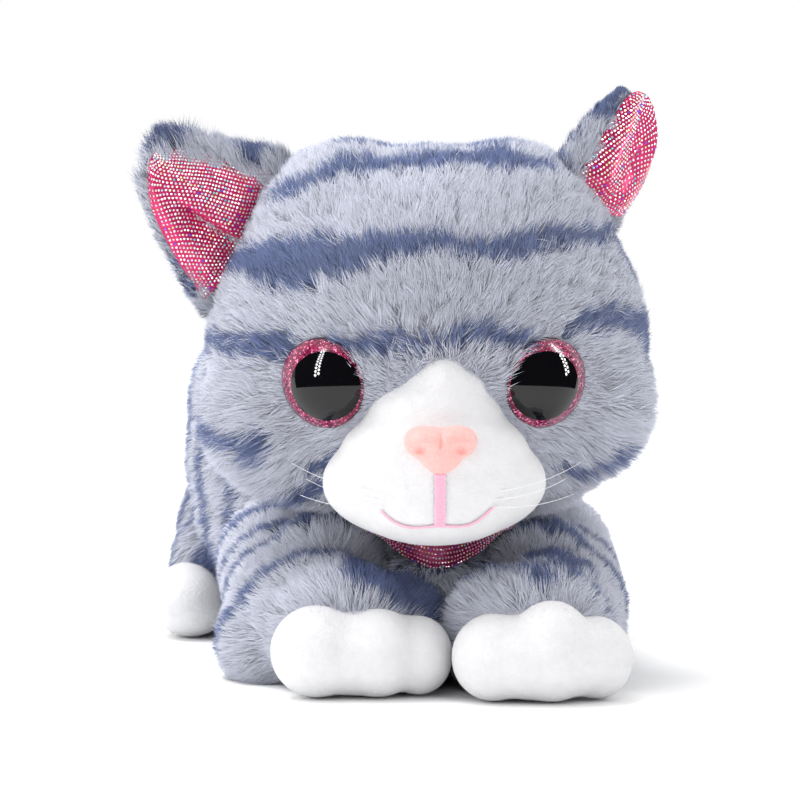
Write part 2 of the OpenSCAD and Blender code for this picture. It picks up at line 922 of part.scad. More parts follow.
body_skin();
body_fill();
foreleg_right();
foreleg_left();
front_paw_right();
front_paw_left();
haunch_right();
haunch_left();
hind_paw_right();
hind_paw_left();
collar();
chassis_base();
chassis_top();
chassis_screws();
battery_cells();
battery_contacts();
battery_door();
battery_door_screw();
circuit_board();
board_parts();
speaker();
power_switch_body();
power_switch_knob();
head_motor();
head_motor_pinion();
layshaft_pin();
layshaft_gear();
neck_bush();
neck_shaft();
neck_gear();
tail_motor();
tail_motor_pinion();
tail_gear();
tail_bush();
tail_arm();
tail_fill();
tail_skin();
back_sensor_base();
back_sensor_button();
head_skin();
head_fill();
head_frame();
head_sensor_base();
head_sensor_button();
muzzle();
nose();
eye_lens_right();
eye_lens_left();
eye_cup_right();
eye_cup_left();
eye_pupils();
eye_glitter_rings();
eye_washers();
ear_right();
ear_left();
ear_lining_right();
ear_lining_left();
whiskers_right();
whiskers_left();
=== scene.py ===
"""Looks of the interactive plush pet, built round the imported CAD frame.

Lengths in this script are millimetres until a mesh is made, when they become metres.
The cat faces -Y, its left side is +X and it lies on z = 0. The head's pieces are modelled
facing straight ahead and then turned to the head's rest pose.
"""

import json
import math

import bmesh
import bpy
import numpy as np
from mathutils import Matrix, Vector, kdtree
from mathutils.bvhtree import BVHTree


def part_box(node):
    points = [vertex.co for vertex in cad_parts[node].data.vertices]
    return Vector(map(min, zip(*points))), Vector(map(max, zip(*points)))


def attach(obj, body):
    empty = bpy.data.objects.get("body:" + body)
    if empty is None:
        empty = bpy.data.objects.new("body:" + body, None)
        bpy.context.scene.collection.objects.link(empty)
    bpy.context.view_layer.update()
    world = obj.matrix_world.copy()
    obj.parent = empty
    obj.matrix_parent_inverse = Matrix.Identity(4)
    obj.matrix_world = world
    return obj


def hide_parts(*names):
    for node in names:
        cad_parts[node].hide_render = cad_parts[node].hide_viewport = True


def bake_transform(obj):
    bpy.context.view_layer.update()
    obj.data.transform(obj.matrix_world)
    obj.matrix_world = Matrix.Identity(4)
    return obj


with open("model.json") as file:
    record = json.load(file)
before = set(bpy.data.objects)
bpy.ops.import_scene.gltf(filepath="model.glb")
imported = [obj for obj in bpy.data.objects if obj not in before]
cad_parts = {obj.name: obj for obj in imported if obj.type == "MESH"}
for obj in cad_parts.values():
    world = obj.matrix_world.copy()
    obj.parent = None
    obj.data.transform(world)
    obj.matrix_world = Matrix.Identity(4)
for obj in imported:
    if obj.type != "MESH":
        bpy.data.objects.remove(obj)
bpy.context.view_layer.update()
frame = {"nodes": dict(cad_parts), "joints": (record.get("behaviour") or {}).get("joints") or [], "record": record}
MM = 0.001

# ---------- Places, taken from the frame or in its axes ----------


def joint(name):
    return next(j for j in frame["joints"] if j["name"] == name)


neck = np.array(joint("head_turn")["pos_m"]) / MM
HEAD_YAW = math.radians(-6)
HEAD = np.array([0, -70, 100.0])
EYE_X = 32.0
EYE_DROP = 10.5
EYE_R = 13.0
NOSE = np.array([0, -142.5, 71.0])
SIDES = ((-1, "right"), (1, "left"))


def turn_head(points):
    """Turns points or directions of the straight head to its rest pose, about the neck."""
    c, s = math.cos(HEAD_YAW), math.sin(HEAD_YAW)
    m = np.array([[c, -s, 0], [s, c, 0], [0, 0, 1]])
    return (np.asarray(points) - neck * [1, 1, 0]) @ m.T + neck * [1, 1, 0]


# ---------- Materials ----------


def linear(rgb):
    """Linear colour of an sRGB colour given from 0 to 255."""
    c = np.asarray(rgb, float) / 255
    return np.where(c <= 0.04045, c / 12.92, ((c + 0.055) / 1.055) ** 2.4)


def plain(name, rgb, rough, **sockets):
    m = bpy.data.materials.new(name)
    m.use_nodes = True
    p = m.node_tree.nodes["Principled BSDF"]
    p.inputs["Base Color"].default_value = (*rgb, 1)
    p.inputs["Roughness"].default_value = rough
    for key, value in sockets.items():
        p.inputs[key.replace("_", " ")].default_value = value
    return m


LIGHT, DARK, WHITE = 0, 1, 2
LEVELS = 5
# Each kind of fur: name, colour and the shades that its strands vary between
FUR = [
    ("light", (196, 199, 212), [0.6, 0.76, 0.9, 1.0, 1.12]),
    ("dark", (96, 109, 148), [0.55, 0.72, 0.86, 1.0, 1.25]),
    ("white", (219, 219, 221), [0.97, 0.98, 0.99, 1.0, 1.0]),
]
fur_materials = [
    plain(f"pile_{kind}_{k}", np.clip(linear(rgb) * shade, 0, 1), 0.62, Specular_IOR_Level=0.25)
    for kind, rgb, shades in FUR for k, shade in enumerate(shades)
]


class Nodes:
    """Shorthand for building a material's nodes."""

    def __init__(self, name, **sockets):
        self.material = plain(name, (0.5, 0.5, 0.5), **sockets)
        self.tree = self.material.node_tree
        self.shader = self.tree.nodes["Principled BSDF"]

    def add(self, kind, **inputs):
        node = self.tree.nodes.new(kind)
        for key, value in inputs.items():
            if isinstance(value, bpy.types.NodeSocket):
                self.tree.links.new(value, node.inputs[key])
            else:
                node.inputs[key].default_value = value
        return node

    def texture(self, kind, **inputs):
        return self.add(kind, Vector=self.add("ShaderNodeTexCoord").outputs["Object"], **inputs)

    def noise(self, scale, detail):
        return self.texture("ShaderNodeTexNoise", Scale=scale, Detail=detail).outputs["Fac"]

    def ramp(self, factor, stops):
        node = self.add("ShaderNodeValToRGB", Fac=factor)
        elements = node.color_ramp.elements
        while len(elements) < len(stops):
            elements.new(0.5)
        for element, (at, rgb) in zip(elements, stops):
            element.position = at
            element.color = (*rgb, 1)
        return node.outputs["Color"]

    def colour(self, socket):
        self.tree.links.new(socket, self.shader.inputs["Base Color"])

    def bump(self, height, strength, distance):
        node = self.add("ShaderNodeBump", Height=height, Strength=strength, Distance=distance)
        self.tree.links.new(node.outputs["Normal"], self.shader.inputs["Normal"])


def mottled(name, low, high, scale, detail=3.0, stops=(0.3, 0.7), grain=None, **sockets):
    """Wanders between two colours. grain is a bump's scale, detail, strength and depth."""
    n = Nodes(name, **sockets)
    n.colour(n.ramp(n.noise(scale, detail), list(zip(stops, (low, high)))))
    if grain is not None:
        n.bump(n.noise(*grain[:2]), *grain[2:])
    return n.material


def backing(name, low, high):
    """The knitted ground cloth that the pile stands on."""
    return mottled(name, linear(low), linear(high), 900, rough=0.9)


def nap(name, low, high):
    """Short dense plush: fine mottled nap with a soft sheen."""
    return mottled(name, linear(low), linear(high), 260, 6, (0.3, 0.65), (1500, 4, 0.5, 0.0006),
                   rough=0.85, Sheen_Weight=0.25, Sheen_Roughness=0.5)


def moulded(name, rgb, rough):
    """Moulded plastic with a fine spark-eroded grain."""
    return mottled(name, np.array(rgb) * 0.88, rgb, 300, 3, (0.35, 0.7), (2600, 3, 0.25, 0.0002), rough=rough)


def metal(name, rgb, rough):
    return mottled(name, np.array(rgb) * 0.8, rgb, 400, 5, rough=rough, Metallic=1.0)


ground_light = backing("ground_cloth_light", (140, 144, 160), (166, 170, 184))
ground_dark = backing("ground_cloth_dark", (66, 74, 102), (88, 98, 130))
fur_ground = [ground_light, ground_dark]
white_nap = nap("white_nap", (214, 214, 216), (219, 219, 221))
fibre = nap("fibre_fill", (225, 225, 220), (246, 246, 242))

# ---------- Mesh helpers ----------

STUFFING_DEPTH = 3.5


def dress(piece, body, node=None):
    """Says which body a piece rides and the CAD node it replaces."""
    if body is not None:
        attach(piece, body)
    if node is not None:
        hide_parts(node)
    return piece


def new_object(name, mesh):
    obj = bpy.data.objects.new(name, mesh)
    bpy.context.scene.collection.objects.link(obj)
    return obj


def clad(me, materials, index=None, smooth=True):
    """Gives a mesh its materials; index says which of them each face has."""
    for m in materials:
        me.materials.append(m)
    if index is not None:
        me.polygons.foreach_set("material_index", np.asarray(index, np.int32).ravel())
    me.polygons.foreach_set("use_smooth", np.full(len(me.polygons), smooth))


def posed(points, body):
    """The head's pieces are modelled facing straight ahead and turned here."""
    return turn_head(points) if body == "head" else points


def mesh_from(name, verts, faces, materials, body=None, node=None, index=None, smooth=True):
    """A piece from points in mm and its faces."""
    me = bpy.data.meshes.new(name)
    verts = posed(np.asarray(verts, float), body)
    me.from_pydata((verts * MM).tolist(), [], [list(map(int, f)) for f in faces])
    clad(me, materials, index, smooth)
    me.update()
    return dress(new_object(name, me), body, node)


def blob(name, parts, voxel=2.4, smooth=14, floor=None):
    """A smooth closed skin in mm round overlapping ovals, each (centre, radii)."""
    bm = bmesh.new()
    for centre, radii in parts:
        m = Matrix.Translation(centre) @ Matrix.Diagonal((*radii, 1))
        bmesh.ops.create_icosphere(bm, subdivisions=4, radius=1, matrix=m)
    me = bpy.data.meshes.new(name)
    bm.to_mesh(me)
    bm.free()
    obj = new_object(name, me)
    remesh = obj.modifiers.new("remesh", "REMESH")
    remesh.mode = "VOXEL"
    remesh.voxel_size = voxel
    soften = obj.modifiers.new("soften", "SMOOTH")
    soften.factor = 0.5
    soften.iterations = smooth
    dg = bpy.context.evaluated_depsgraph_get()
    skin = bpy.data.meshes.new_from_object(obj.evaluated_get(dg))
    bpy.data.objects.remove(obj)
    co = read(skin.vertices, "co")
    if floor is not None:
        co[:, 2] = np.maximum(co[:, 2], floor)
        skin.vertices.foreach_set("co", co.ravel())
        skin.update()
    return skin


def ball(centre, rad):
    return tuple(centre), (rad, rad, rad)


def read(items, field, kind=np.float32):
    """A three-part field of a mesh's vertices, faces or triangles, as rows."""
    data = np.empty(len(items) * 3, kind)
    items.foreach_get(field, data)
    return data.reshape(-1, 3).astype(float if kind == np.float32 else int)


def place_skin(name, skin, materials, body, node, inside=None):
    """Turns a skin in mm into a piece in metres. inside is above 0 where the second material is."""
    me = skin.copy()
    me.name = name
    me.materials.clear()
    clad(me, materials, None if inside is None else inside(read(skin.polygons, "center")) > 0)
    me.vertices.foreach_set("co", (posed(read(skin.vertices, "co"), body) * MM).ravel())
    me.update()
    return dress(new_object(name, me), body, node)


def stuffing(name, skin, body, node):
    """Loose fibre just inside a skin."""
    co = read(skin.vertices, "co") - STUFFING_DEPTH * read(skin.vertices, "normal")
    inner = skin.copy()
    inner.vertices.foreach_set("co", co.ravel())
    inner.update()
    place_skin(name, inner, [fibre], body, node)


def unit(v):
    return v / np.maximum(np.linalg.norm(v, axis=-1, keepdims=True), 1e-9)


def ripple(p, size, seed):
    """Smooth noise from -1 to 1 with features of about the given size in mm."""
    r = np.random.default_rng(seed)
    total = np.zeros(len(p))
    for _ in range(5):
        way = unit(r.normal(size=3)) * 2 * math.pi / (size * r.uniform(0.7, 1.6))
        total += np.sin(p @ way + r.uniform(0, 6.28))
    return total / 2.6


def circle(steps, across, up):
    """A unit circle's points in the plane of two directions."""
    a = np.linspace(0, 2 * math.pi, steps, endpoint=False)[:, None]
    return np.cos(a) * across + np.sin(a) * up


def ease(x, low, high):
    t = np.clip((x - low) / (high - low), 0, 1)
    return t * t * (3 - 2 * t)


# ---------- Pile ----------

PIECE_STRANDS = 64000
ROOT_DEPTH = 0.4
PILE_FLOOR = 0.15     # the lowest that a strand reaches
SWIRL, STRAY = 0.28, 0.2  # how far tufts, and strands within a tuft, turn off the way they are combed


def settle(value, *at):
    """A value that is either given as it is or as a function of the roots."""
    return value(*at) if callable(value) else np.asarray(value)


def scatter(skin, count, r, keep):
    """Random roots over a skin: points and normals, evenly by area, where keep allows."""
    skin.calc_loop_triangles()
    co = read(skin.vertices, "co")
    no = read(skin.vertices, "normal")
    tri = read(skin.loop_triangles, "vertices", np.int32)
    a, b, c = co[tri[:, 0]], co[tri[:, 1]], co[tri[:, 2]]
    area = np.linalg.norm(np.cross(b - a, c - a), axis=1)
    if keep is not None:
        area = area * (keep((a + b + c) / 3) > 0)
    pick = r.choice(len(tri), count, p=area / area.sum())
    u, v = r.random(count), r.random(count)
    flip = u + v > 1
    u, v = np.where(flip, 1 - u, u), np.where(flip, 1 - v, v)
    w = 1 - u - v
    p = a[pick] * w[:, None] + b[pick] * u[:, None] + c[pick] * v[:, None]
    n = no[tri[pick, 0]] * w[:, None] + no[tri[pick, 1]] * u[:, None] + no[tri[pick, 2]] * v[:, None]
    return p, unit(n)


def tufts(p, size, r):
    """Groups roots into loose tufts: each root's group number."""
    cell = np.floor((p + r.normal(size=p.shape) * size * 0.22) / size).astype(np.int64)
    key = (cell[:, 0] * 73856093) ^ (cell[:, 1] * 19349663) ^ (cell[:, 2] * 83492791)
    return np.unique(key, return_inverse=True)[1]


def pile(name, skin, count, length, flow, shade, body, lift=40.0, width=0.2,
         keep=None, tuft=3.2, gather=0.4, seed=1, slot="grey_fur", relief=0.28, turn=0.5):
    """Fur as tapered strands of two segments, split into pieces of at most PIECE_STRANDS.

    shade and keep are functions of the roots, and so may be length, lift and flow, the way that the
    pile is combed. lift is a strand's angle to the skin at its root, in degrees; its tip lies over to
    half of that. relief is how far a strand is shaded by its own face rather than by the skin's, and
    turn is how far strands twist about their own length.
    """
    r = np.random.default_rng(seed)
    p, n = scatter(skin, count, r, keep)
    order = np.argsort(p[:, 1])
    p, n = p[order], n[order]
    group = tufts(p, tuft, r)
    groups = group.max() + 1
    size = np.bincount(group, minlength=groups)[:, None]
    middle = np.stack([np.bincount(group, p[:, k], groups) for k in range(3)], 1) / size
    swirl = r.normal(size=(groups, 3)) * SWIRL
    way = settle(flow, p, n) + swirl[group] + r.normal(size=p.shape) * STRAY
    t = unit(way - n * (way * n).sum(1, keepdims=True))
    long = settle(length, p) * (0.82 + 0.3 * r.random(count)) * (0.92 + 0.16 * r.random(groups)[group])
    low = np.radians(settle(lift, p) + r.normal(size=count) * 7)
    high = low * 0.5
    first = t * np.cos(low)[:, None] + n * np.sin(low)[:, None]
    second = t * np.cos(high)[:, None] + n * np.sin(high)[:, None]
    root = p - n * ROOT_DEPTH
    mid = root + first * (long * 0.5)[:, None]
    tip = mid + second * (long * 0.5)[:, None]
    offset = tip - root
    mean = np.stack([np.bincount(group, offset[:, k], groups) for k in range(3)], 1) / size
    aim = middle[group] + mean[group]
    pull = (gather * (0.5 + r.random(groups)))[group][:, None]
    tip = tip + (aim - tip) * pull
    mid = mid + ((middle[group] + mean[group] * 0.5) - mid) * pull * 0.35
    mid[:, 2] = np.maximum(mid[:, 2], PILE_FLOOR)
    tip[:, 2] = np.maximum(tip[:, 2], PILE_FLOOR)
    along = unit(tip - root)
    side = unit(np.cross(along, n))
    twist = r.normal(size=count) * turn
    side = side * np.cos(twist)[:, None] + np.cross(along, side) * np.sin(twist)[:, None]
    face = np.cross(side, along)
    flip = np.sign((face * n).sum(1, keepdims=True))
    side, face = side * flip, face * flip
    half = (width * (0.7 + 0.6 * r.random(count)) / 2)[:, None]
    verts = np.stack([root - side * half, root + side * half, mid - side * half * 0.85,
                      mid + side * half * 0.85, tip], 1)
    shine = np.repeat(unit((1 - relief) * n + relief * face), 5, axis=0).reshape(-1, 5, 3)
    kind = shade(p, r)
    level = 2.4 + 0.6 * r.normal(size=count) + 0.4 * r.normal(size=groups)[group]
    root_level = np.clip(np.round(level - 0.9), 0, LEVELS - 1)
    tip_level = np.clip(np.round(level + 0.5), 0, LEVELS - 1)
    index = np.stack([kind * LEVELS + root_level, kind * LEVELS + tip_level], 1).astype(np.int32)
    pieces = math.ceil(count / PIECE_STRANDS)
    for k, part in enumerate(np.array_split(np.arange(count), pieces)):
        title = f"{name}_{k + 1}" if pieces > 1 else name
        strands(title, verts[part], shine[part], index[part], body)


def strands(name, verts, normals, index, body):
    """One piece of pile: five points, a quad and a triangle for each strand."""
    count = len(verts)
    verts, normals = verts.reshape(-1, 3), normals.reshape(-1, 3)
    if body == "head":
        normals = turn_head(verts + normals) - turn_head(verts)
    verts = posed(verts, body)
    base = np.arange(count)[:, None] * 5
    loops = (base + np.array([0, 1, 3, 2, 2, 3, 4])).ravel()
    starts = (np.arange(count)[:, None] * 7 + np.array([0, 4])).ravel()
    me = bpy.data.meshes.new(name)
    me.vertices.add(len(verts))
    me.vertices.foreach_set("co", (verts * MM).astype(np.float32).ravel())
    me.loops.add(len(loops))
    me.loops.foreach_set("vertex_index", loops.astype(np.int32))
    me.polygons.add(len(starts))
    me.polygons.foreach_set("loop_start", starts.astype(np.int32))
    clad(me, fur_materials, index)
    me.update(calc_edges=True)
    me.normals_split_custom_set_from_vertices(normals.tolist())
    dress(new_object(name, me), body)


def always(kind):
    return lambda p, r: np.full(len(p), kind)


# ---------- Stripes ----------

# Dark bands on the head seen from the front: points (x, z, half thickness) along each band's middle. Most are the
# fur's stripes
HEAD_BANDS = [
    [(-43, 141, 1.8), (-26, 149.3, 2.4), (-9.5, 150, 2.6), (8, 151.5, 2.8), (20, 151.5, 2.8),
     (34, 149.5, 2.4)],
    [(-58, 123, 3.2), (-42, 119.5, 6.8), (-28, 123, 6.4), (-11, 126.6, 3.6), (3.5, 126.9, 2.6),
     (13, 125.2, 3.0), (28, 126.6, 3.0), (42, 128.7, 3.0), (54, 129.8, 2.8)],
    [(58, 126, 3.4), (61, 119, 2.8)],
    [(-68, 99.5, 2.8), (-42, 98.8, 3.0)],
    [(-27, 98.5, 3.0), (-14, 98.5, 2.6), (-1, 99.6, 1.2), (11, 100.6, 2.4), (23, 101, 3.0)],
    [(39, 104, 2.6), (53, 106, 3.4), (61, 102, 4.0), (64, 93, 3.2)],
    # The last four bands darken the fur beside the muzzle and low on the cheeks; the two beside the muzzle are
    # painted shade in the crease there
    [(-62, 76, 3.0), (-46, 73, 3.4)],
    [(-33, 66, 2.6), (-26, 68, 2.0)],
    [(-39, 57, 3.0), (-31, 60, 2.4)],
    [(38, 66, 2.4), (50, 70, 2.6)],
]
CROWN_BANDS = [(-76, 3.0, 26), (-48, 5.0, 60), (-26, 5.5, 60)]  # y, half thickness, half length


def band_darkness(x, z, bands):
    """How far inside a band each point is: above 0 is inside, in mm."""
    inside = np.full(len(x), -99.0)
    for band in bands:
        for (x0, z0, h0), (x1, z1, h1) in zip(band, band[1:]):
            dx, dz = x1 - x0, z1 - z0
            t = np.clip(((x - x0) * dx + (z - z0) * dz) / (dx * dx + dz * dz), 0, 1)
            gap = np.hypot(x - x0 - t * dx, z - z0 - t * dz)
            inside = np.maximum(inside, h0 + (h1 - h0) * t - gap)
    return inside


def pick_kind(inside, r, blur=0.9):
    return np.where(inside + r.normal(size=len(inside)) * blur > 0, DARK, LIGHT)


def head_inside(p):
    x, y, z = p.T
    inside = band_darkness(x + ripple(p, 22, 3), z + 1.2 * ripple(p, 17, 4), HEAD_BANDS)
    inside = np.where(y < -66, inside, -99)
    for middle, half, reach in CROWN_BANDS:
        on_top = half - np.abs(y + 2.5 * ripple(p, 30, 5) - middle)
        on_top = np.minimum(on_top, reach - np.abs(x))
        inside = np.maximum(inside, np.where((z > 84) & (y > -84), on_top, -99))
    return inside


def head_shade(p, r):
    return pick_kind(head_inside(p), r)


def even_bands(along, pitch, half):
    """How far inside evenly spaced bands each point is."""
    return half - np.abs(along % pitch - pitch / 2)


def torso_inside(p):
    x, y, z = p.T
    slant = y + 0.10 * (z - 60) + 2.6 * ripple(p, 45, 11)
    inside = even_bands(slant + 6, 19.0, 3.8 + ripple(p, 30, 12))
    return np.where(z < 14 + 6 * ripple(p, 30, 13), -99, inside)


def torso_shade(p, r):
    kind = pick_kind(torso_inside(p), r)
    chest = (p[:, 1] < -60) & (np.abs(p[:, 0]) < 22)
    return np.where(chest, LIGHT, kind)


# ---------- Head ----------

# The muzzle's outline seen from the front: (z, half width)
MUZZLE_HALF = [(43, 0), (45, 10), (49, 22), (54, 27.5), (59, 30.5), (66, 32), (71, 29), (77, 24), (84, 16.5),
               (90, 11), (94, 7.5), (97.5, 0)]


def muzzle_half(z):
    zs, hs = zip(*MUZZLE_HALF)
    return np.interp(z, zs, hs, left=-5, right=-5)


def eye_frame(side):
    """Centre on the skin and outward direction of an eye, on the straight head."""
    half_w, r = 64.0, 57.0
    ring = r * math.sqrt(1 - (EYE_X / half_w) ** 2)
    y = math.sqrt(ring**2 - EYE_DROP**2)
    centre = HEAD + [side * EYE_X, -y, -EYE_DROP]
    out = unit(np.array([side * EYE_X / half_w**2, -y / r**2, -EYE_DROP / r**2]))
    return centre, out


def from_eyes(p):
    """Distance of each point from the nearer eye's axis."""
    gaps = []
    for side in (-1, 1):
        centre, out = eye_frame(side)
        d = p - centre
        gaps.append(np.linalg.norm(d - (d @ out)[:, None] * out, axis=1) + np.where(d @ out < -25, 99, 0))
    return np.minimum(*gaps)


# Ball, crown and cheeks
HEAD_LOBES = [
    ((0, -70, 100), (63.5, 56.8, 56.8)),
    ((-23, -68, 118), (33, 42, 40.5)), ((23, -68, 118), (33, 42, 40.5)),
    ((-37, -86, 82), (27, 25, 25)), ((36, -85, 86), (27.5, 25, 25)),
]
head_skin = blob("head_skin_form", HEAD_LOBES, smooth=10)


def head_keep(p):
    x, y, z = p.T
    near_muzzle = (y < -96) & (np.abs(x) < muzzle_half(z) - 3)
    return ~near_muzzle & (from_eyes(p) > EYE_R - 0.5)


def nose_side(p):
    """1 beside an eye on its nose side, where the pile laps over the eye, falling to 0."""
    close = 1 - ease(from_eyes(p), EYE_R, EYE_R + 5)
    return close * ease(EYE_X - np.abs(p[:, 0]), 0, 8) * ease(-p[:, 1], 90, 100)


def cheek(p):
    return ease(-p[:, 2], -96, -66) * ease(np.abs(p[:, 0]), 18, 42)


def head_length(p):
    x, y, z = p.T
    off_muzzle = np.where(y < -90, np.abs(x) - muzzle_half(z), 30)
    off_muzzle = np.maximum(off_muzzle, np.where(z > 94, 1.4 * (z - 92), off_muzzle))
    off_eyes = np.maximum(ease(from_eyes(p), EYE_R - 1, EYE_R + 8), nose_side(p))
    short = np.minimum(ease(off_muzzle, -2, 12), off_eyes)
    return 3.4 + short * (4.6 - 1.2 * ease(z, 100, 118) + 3.6 * cheek(p))


def head_lift(p):
    return 36 + 12 * cheek(p) + 14 * nose_side(p)


def head_flow(p, n):
    low = ease(-p[:, 2], -100, -70)[:, None]
    side = np.sign(p[:, :1]) * [1, 0, 0]
    return unit(p - NOSE) + low * (0.35 * side + [0, 0, -0.45])


place_skin("head_ground", head_skin, fur_ground, "head", "head_skin", head_inside)
stuffing("head_stuffing", head_skin, "head", "head_fill")
pile(
    "head_pile", head_skin, 250000, head_length, head_flow, head_shade, "head", head_lift, keep=head_keep,
    seed=31,
)

# Muzzle
MUZZLE_LOBES = [
    ((0, -117, 61), (32.5, 22, 17.5)), ((0, -119, 69), (27.5, 20.5, 15)), ((0, -114, 80), (21, 20, 13)),
    ((2.5, -112, 87), (16, 19, 12)), ((2.2, -113, 91.3), (9.5, 18, 9.5)), ((0, -122, 55), (24, 17, 12)),
]
muzzle_skin = blob("muzzle_form", MUZZLE_LOBES, voxel=1.5, smooth=10)
place_skin("muzzle_plush", muzzle_skin, [white_nap], "head", "muzzle")


def muzzle_flow(p, n):
    return unit(p - NOSE) + [0, 0, -0.2]


SHORT_PILE = dict(length=1.3, lift=16.0, width=0.26, turn=0.05, tuft=1.4, gather=0.2, slot="white_plush",
                  relief=0.04)
pile(
    "muzzle_pile", muzzle_skin, 60000, flow=muzzle_flow, shade=always(WHITE), body="head",
    keep=lambda p: p[:, 1] < -104, seed=41, **SHORT_PILE,
)

# ---------- Eyes ----------

pupil_black = plain("pupil_black", (0.003, 0.003, 0.004), 0.04, Specular_IOR_Level=0.4)


def glitter_material():
    n = Nodes("pink_glitter", rough=0.25, Coat_Weight=0.45, Coat_Roughness=0.03)
    # The cells' colours run from near black to pale pink: painted sparkle and shade, flakes lit or dark by their
    # tilt, painted into the base colour over the glitter's pink
    cells = n.texture("ShaderNodeTexVoronoi", Scale=2400)
    value = n.add("ShaderNodeSeparateColor", Color=cells.outputs["Color"]).outputs["Red"]
    stops = [(0.0, linear((36, 3, 20))), (0.45, linear((104, 10, 50))), (0.85, linear((176, 26, 88))),
             (0.97, linear((255, 160, 200)))]
    n.colour(n.ramp(value, stops))
    return n.material


pink_glitter = glitter_material()
# Near black: on the rims round the eyes it is painted shade, the thin shadow where the pile meets each dome; it
# also colours the frame's black eye parts
eye_rim = plain("eye_rim", (0.05, 0.01, 0.025), 0.4)
EYE_STEPS = 72


def eye_points(side, rows, shift=0.0):
    """Rings round an eye's axis; rows are (radius, height above the skin), moved by shift to the nose."""
    centre, out = eye_frame(side)
    across = unit(np.cross([0, 0, 1.0], out))
    up = np.cross(out, across)
    inward = across * -np.sign(across[0] * side) * shift
    ring = circle(EYE_STEPS, across, up)
    return np.concatenate([centre + inward + out * h + ring * rad for rad, h in rows])


def ring_faces(rows, steps, close=False):
    faces = []
    for k in range(rows - 1):
        for j in range(steps):
            i = (j + 1) % steps
            faces.append((k * steps + j, k * steps + i, (k + 1) * steps + i, (k + 1) * steps + j))
    if close:
        faces.append(tuple(range((rows - 1) * steps, rows * steps)))
    return faces


DOME_FOOT, DOME_RISE = 0.4, 6.6
dome_curve = (EYE_R**2 + DOME_RISE**2) / (2 * DOME_RISE)


def dome_height(rad):
    return DOME_FOOT + DOME_RISE - dome_curve + math.sqrt(dome_curve**2 - rad**2)


PUPIL_R, PUPIL_SHIFT, PUPIL_PROUD, RING_INNER_R = 10.2, 2.4, 0.08, 7.4
for side, word in SIDES:
    rows = [(r, 0.0) for r in np.linspace(PUPIL_R, 0.05, 16)]
    dome = eye_points(side, rows, shift=PUPIL_SHIFT)
    centre, out = eye_frame(side)
    from_axis = np.linalg.norm(dome - centre, axis=1)
    dome = dome + out * (np.array([dome_height(r) for r in from_axis]) + PUPIL_PROUD)[:, None]
    mesh_from(f"eye_pupil_dome_{word}", dome, ring_faces(len(rows), EYE_STEPS, True), [pupil_black], "head",
              f"eye_lens_{word}")
    rows = [(r, dome_height(r)) for r in np.linspace(EYE_R, RING_INNER_R, 11)]
    mesh_from(f"eye_glitter_dome_{word}", eye_points(side, rows), ring_faces(len(rows), EYE_STEPS),
              [pink_glitter], "head")
    # The rim closes the gap at the dome's foot; its near-black colour is painted shade where the pile meets the
    # eye
    rows = [(EYE_R + 0.1, -3.0), (EYE_R + 0.1, DOME_FOOT), (EYE_R - 0.1, DOME_FOOT + 0.1)]
    mesh_from(f"eye_rim_{word}", eye_points(side, rows), ring_faces(len(rows), EYE_STEPS), [eye_rim],
              "head")

# ---------- Nose and mouth ----------


def velour(name, low, high):
    return mottled(name, linear(low), linear(high), 1200, 4, grain=(3000, 3, 0.12, 0.0002), rough=0.55,
                   Sheen_Weight=0.3)


NOSE_AT = [0.8, -138.6, 72.8]
# The nose's right half, (x, z) from its middle
NOSE_OUTLINE = [(0, 5.2), (5.2, 5.8), (8.6, 5.0), (10.4, 2.6), (10.4, 0.2), (8.8, -2.4), (6.4, -3.6),
                (4.6, -6.0), (2.4, -7.7), (0, -8.3)]


def nose_rows():
    """The nose as rings: broad lobes above a rounded point, with nostril dents and a centre groove."""
    steps = 96
    half = np.array(NOSE_OUTLINE, float)
    loop = np.concatenate([half, half[-2:0:-1] * [-1, 1]])
    reach = np.arange(len(loop) + 1)
    closed = np.concatenate([loop, loop[:1]])
    at = np.linspace(0, len(loop), steps, endpoint=False)
    x, z = (np.interp(at, reach, closed[:, k]) for k in (0, 1))
    for _ in range(3):
        x, z = ((np.roll(q, 1) + q * 2 + np.roll(q, -1)) / 4 for q in (x, z))
    rings = []
    for rho in np.linspace(1.0, 0.03, 26):
        px, pz = x * rho, z * rho
        rise = 5.0 * (1 - rho**2.4) ** 0.55
        dent = sum(2.5 * np.exp(-(((px - s * 5.6) / 2.0) ** 2 + ((pz + 1.2) / 1.3) ** 2)) for s in (-1, 1))
        groove = 1.0 * np.exp(-((px / 0.6) ** 2)) * ease(pz, -1.5, 0.5)
        rings.append(np.stack([px, -(rise - (dent + groove) * (1 - rho**8)), pz], 1))
    foot = np.stack([x * 0.97, np.full(steps, 4.0), z * 0.97], 1)
    return np.concatenate([foot[None], rings]).reshape(-1, 3), len(rings) + 1, steps


nose_points, nose_count, nose_steps = nose_rows()
nose_velour = velour("nose_velour", (246, 168, 162), (250, 182, 176))
mesh_from("nose_form", nose_points + NOSE_AT, ring_faces(nose_count, nose_steps, True), [nose_velour],
          "head", "nose")

thread_pink = plain("thread_pink", linear((252, 186, 208)), 0.5, Sheen_Weight=0.3)


